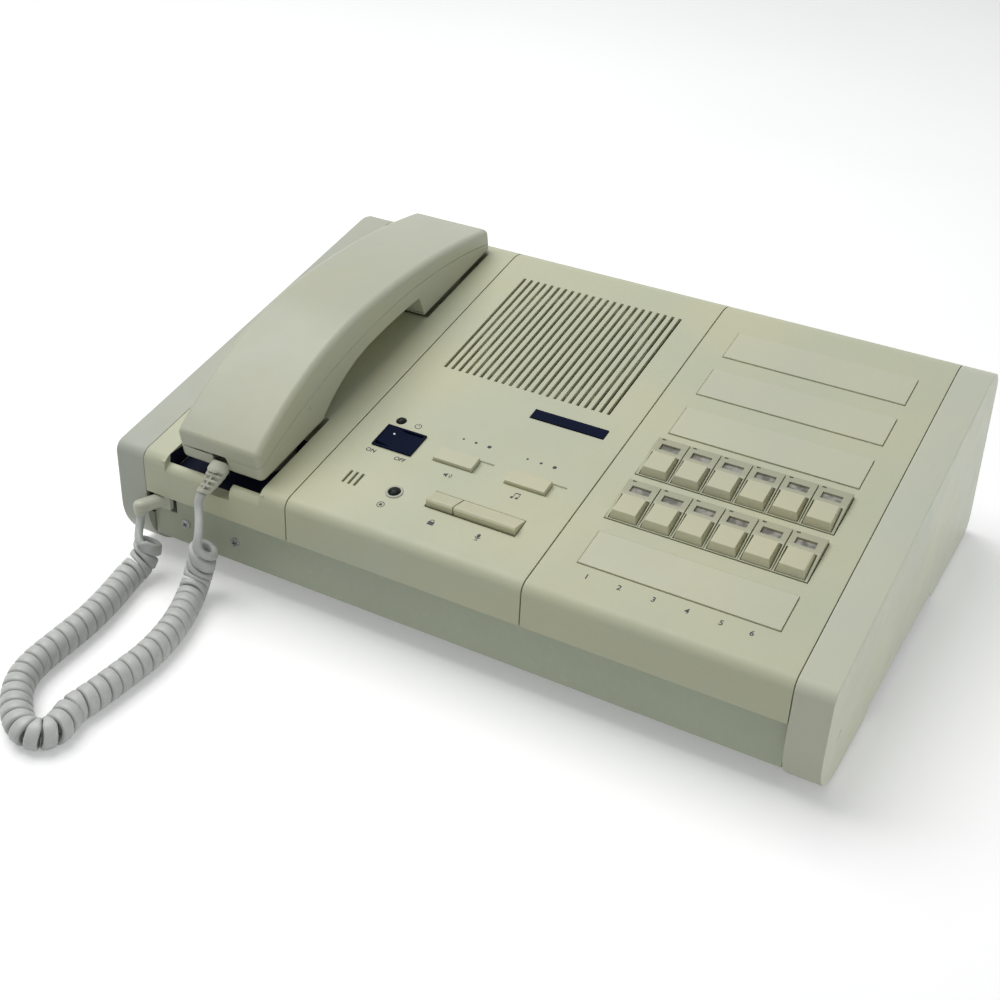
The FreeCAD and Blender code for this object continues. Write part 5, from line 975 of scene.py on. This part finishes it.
TALK_SIGN = [
    arc(0.62, 0, 180, 10, 0.0, 1.0) + arc(0.62, 180, 360, 10, 0.0, 0.0),
    band(1.15, 0.28, 190, 350, 0.0, 0.2),
    block(-0.14, -1.75, 0.28, 0.7),
    block(-0.8, -2.1, 1.6, 0.28),
]

# Each sign with its place across and up the slope
SIGNS = [
    (POWER_SIGN, 129.0, 72.9),
    (BUSY_SIGN, 142.3, 17.9),
    (VOICE_SIGN, 160.2, 48.2),
    (TONE_SIGN, 195.4, 48.8),
    (LOCK_SIGN, 169.6, 17.6),
    (TALK_SIGN, 193.3, 18.4),
]

# Place across and up the slope, and radius
GROWING_DOTS = [
    (153.8, 74.0, 0.6), (160.6, 74.0, 0.75), (167.9, 74.0, 1.05),
    (188.4, 74.0, 0.6), (195.6, 74.0, 0.75), (202.7, 74.0, 1.05),
]

# Text, place across and up the slope, and height
WORDS = [
    ("1", 247.7, 17.0, 4.0), ("2", 263.1, 17.0, 4.0), ("3", 279.0, 17.0, 4.0),
    ("4", 294.2, 17.0, 4.0), ("5", 309.5, 17.0, 4.0), ("6", 323.0, 17.0, 4.0),
    ("ON", 117.4, 48.3, 3.4), ("OFF", 133.6, 48.2, 3.4),
]


def curve_mesh(curve, where):
    """A curve's or a text's filled mesh, moved to its place."""
    holder = bpy.data.objects.new("print_draft", curve)
    bpy.context.scene.collection.objects.link(holder)
    bpy.context.view_layer.update()
    mesh = bpy.data.meshes.new_from_object(holder)
    mesh.transform(where)
    bpy.data.objects.remove(holder)
    bpy.data.curves.remove(curve)
    return mesh


def outline_mesh(loops, where):
    curve = bpy.data.curves.new("print_draft", "CURVE")
    curve.dimensions = "2D"
    curve.fill_mode = "BOTH"
    for loop in loops:
        spline = curve.splines.new("POLY")
        spline.points.add(len(loop) - 1)
        for entry, (x, y) in zip(spline.points, loop):
            entry.co = (x * MM, y * MM, 0, 1)
        spline.use_cyclic_u = True
    return curve_mesh(curve, where)


def word_mesh(word, size, where):
    curve = bpy.data.curves.new("print_draft", "FONT")
    curve.body = word
    curve.size = size * MM
    curve.offset = size * MM * WORD_WEIGHT
    curve.align_x = "CENTER"
    curve.align_y = "CENTER"
    return curve_mesh(curve, where)


def join_pieces(name, meshes, material, body):
    """One piece made of several meshes, riding on a body."""
    joined = bmesh.new()
    for mesh in meshes:
        joined.from_mesh(mesh)
        bpy.data.meshes.remove(mesh)
    data = bpy.data.meshes.new(name)
    joined.to_mesh(data)
    joined.free()
    data.materials.clear()
    data.materials.append(material)
    piece = bpy.data.objects.new(name, data)
    bpy.context.scene.collection.objects.link(piece)
    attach(piece, body)
    return piece


def add_prints():
    meshes = []
    for sign, u, v in SIGNS:
        for loop in sign:
            large = [(x * SIGN_SCALE, y * SIGN_SCALE) for x, y in loop]
            meshes.append(outline_mesh([large], slope_frame(u, v, PRINT_RISE)))
    for u, v, radius in GROWING_DOTS:
        meshes.append(outline_mesh([disc(radius)], slope_frame(u, v, PRINT_RISE)))
    for word, u, v, size in WORDS:
        meshes.append(word_mesh(word, size, slope_frame(u, v, PRINT_RISE)))
    join_pieces("panel_prints", meshes, MATERIALS["ink"], "console")


add_prints()


# Small marks on moving pieces and screw heads

# Place across and up the slope, and the height above it from which the rocker is looked for
ROCKER_DOT = (122.3, 62.0)
DOT_RADIUS = 0.55
LOOK_HEIGHT = 30

# Middle of each screw across and up the front wall, and where beside it its head is looked for
SCREW_PLACES = [(37.2, 26.2), (67.3, 26.2)]
SCREW_PROBE = (0.6, -20, 0.5)
CROSS_LENGTH = 2.6
CROSS_WIDTH = 0.56
CROSS_DEGREES = 24
CROSS_RISE = 0.02


def surface_on(name, start, way):
    """Where a straight look along a direction first meets a carried-over piece."""
    data = nodes[name].data
    corners = [vertex.co for vertex in data.vertices]
    tree = BVHTree.FromPolygons(corners, [tuple(face.vertices) for face in data.polygons])
    place, normal, _, _ = tree.ray_cast(start, way)
    return place, normal


def add_rocker_dot():
    """The white paint dot on the rocker's rear half."""
    start = slope_point(*ROCKER_DOT, LOOK_HEIGHT)
    way = slope_point(0, 0, 0) - slope_point(0, 0, 1)
    place, normal = surface_on("power_rocker", start, way.normalized())
    turn = normal.to_track_quat("Z", "Y").to_matrix().to_4x4()
    where = Matrix.Translation(place + normal * PRINT_RISE * MM) @ turn
    dot = outline_mesh([disc(DOT_RADIUS)], where)
    join_pieces("rocker_dot", [dot], MATERIALS["paint_white"], "power_rocker")


def add_screw_crosses():
    """Flat dark crosses of painted shade on the two front screws, standing for their cross recesses."""
    meshes = []
    upright = Matrix.Rotation(math.radians(90), 4, "X")
    turn = upright @ Matrix.Rotation(math.radians(CROSS_DEGREES), 4, "Z")
    for x, z in SCREW_PLACES:
        start = console_point(x + SCREW_PROBE[0], SCREW_PROBE[1], z + SCREW_PROBE[2])
        place, _ = surface_on("chassis_screws", start, Vector((0, 1, 0)))
        face = console_point(x, 0, z)
        face.y = place.y - CROSS_RISE * MM
        where = Matrix.Translation(face) @ turn
        for width, height in ((CROSS_LENGTH, CROSS_WIDTH), (CROSS_WIDTH, CROSS_LENGTH)):
            bar = block(-width / 2, -height / 2, width, height)
            meshes.append(outline_mesh([bar], where))
    join_pieces("screw_crosses", meshes, MATERIALS["screw_recess_shade"], "console")


add_rocker_dot()
add_screw_crosses()
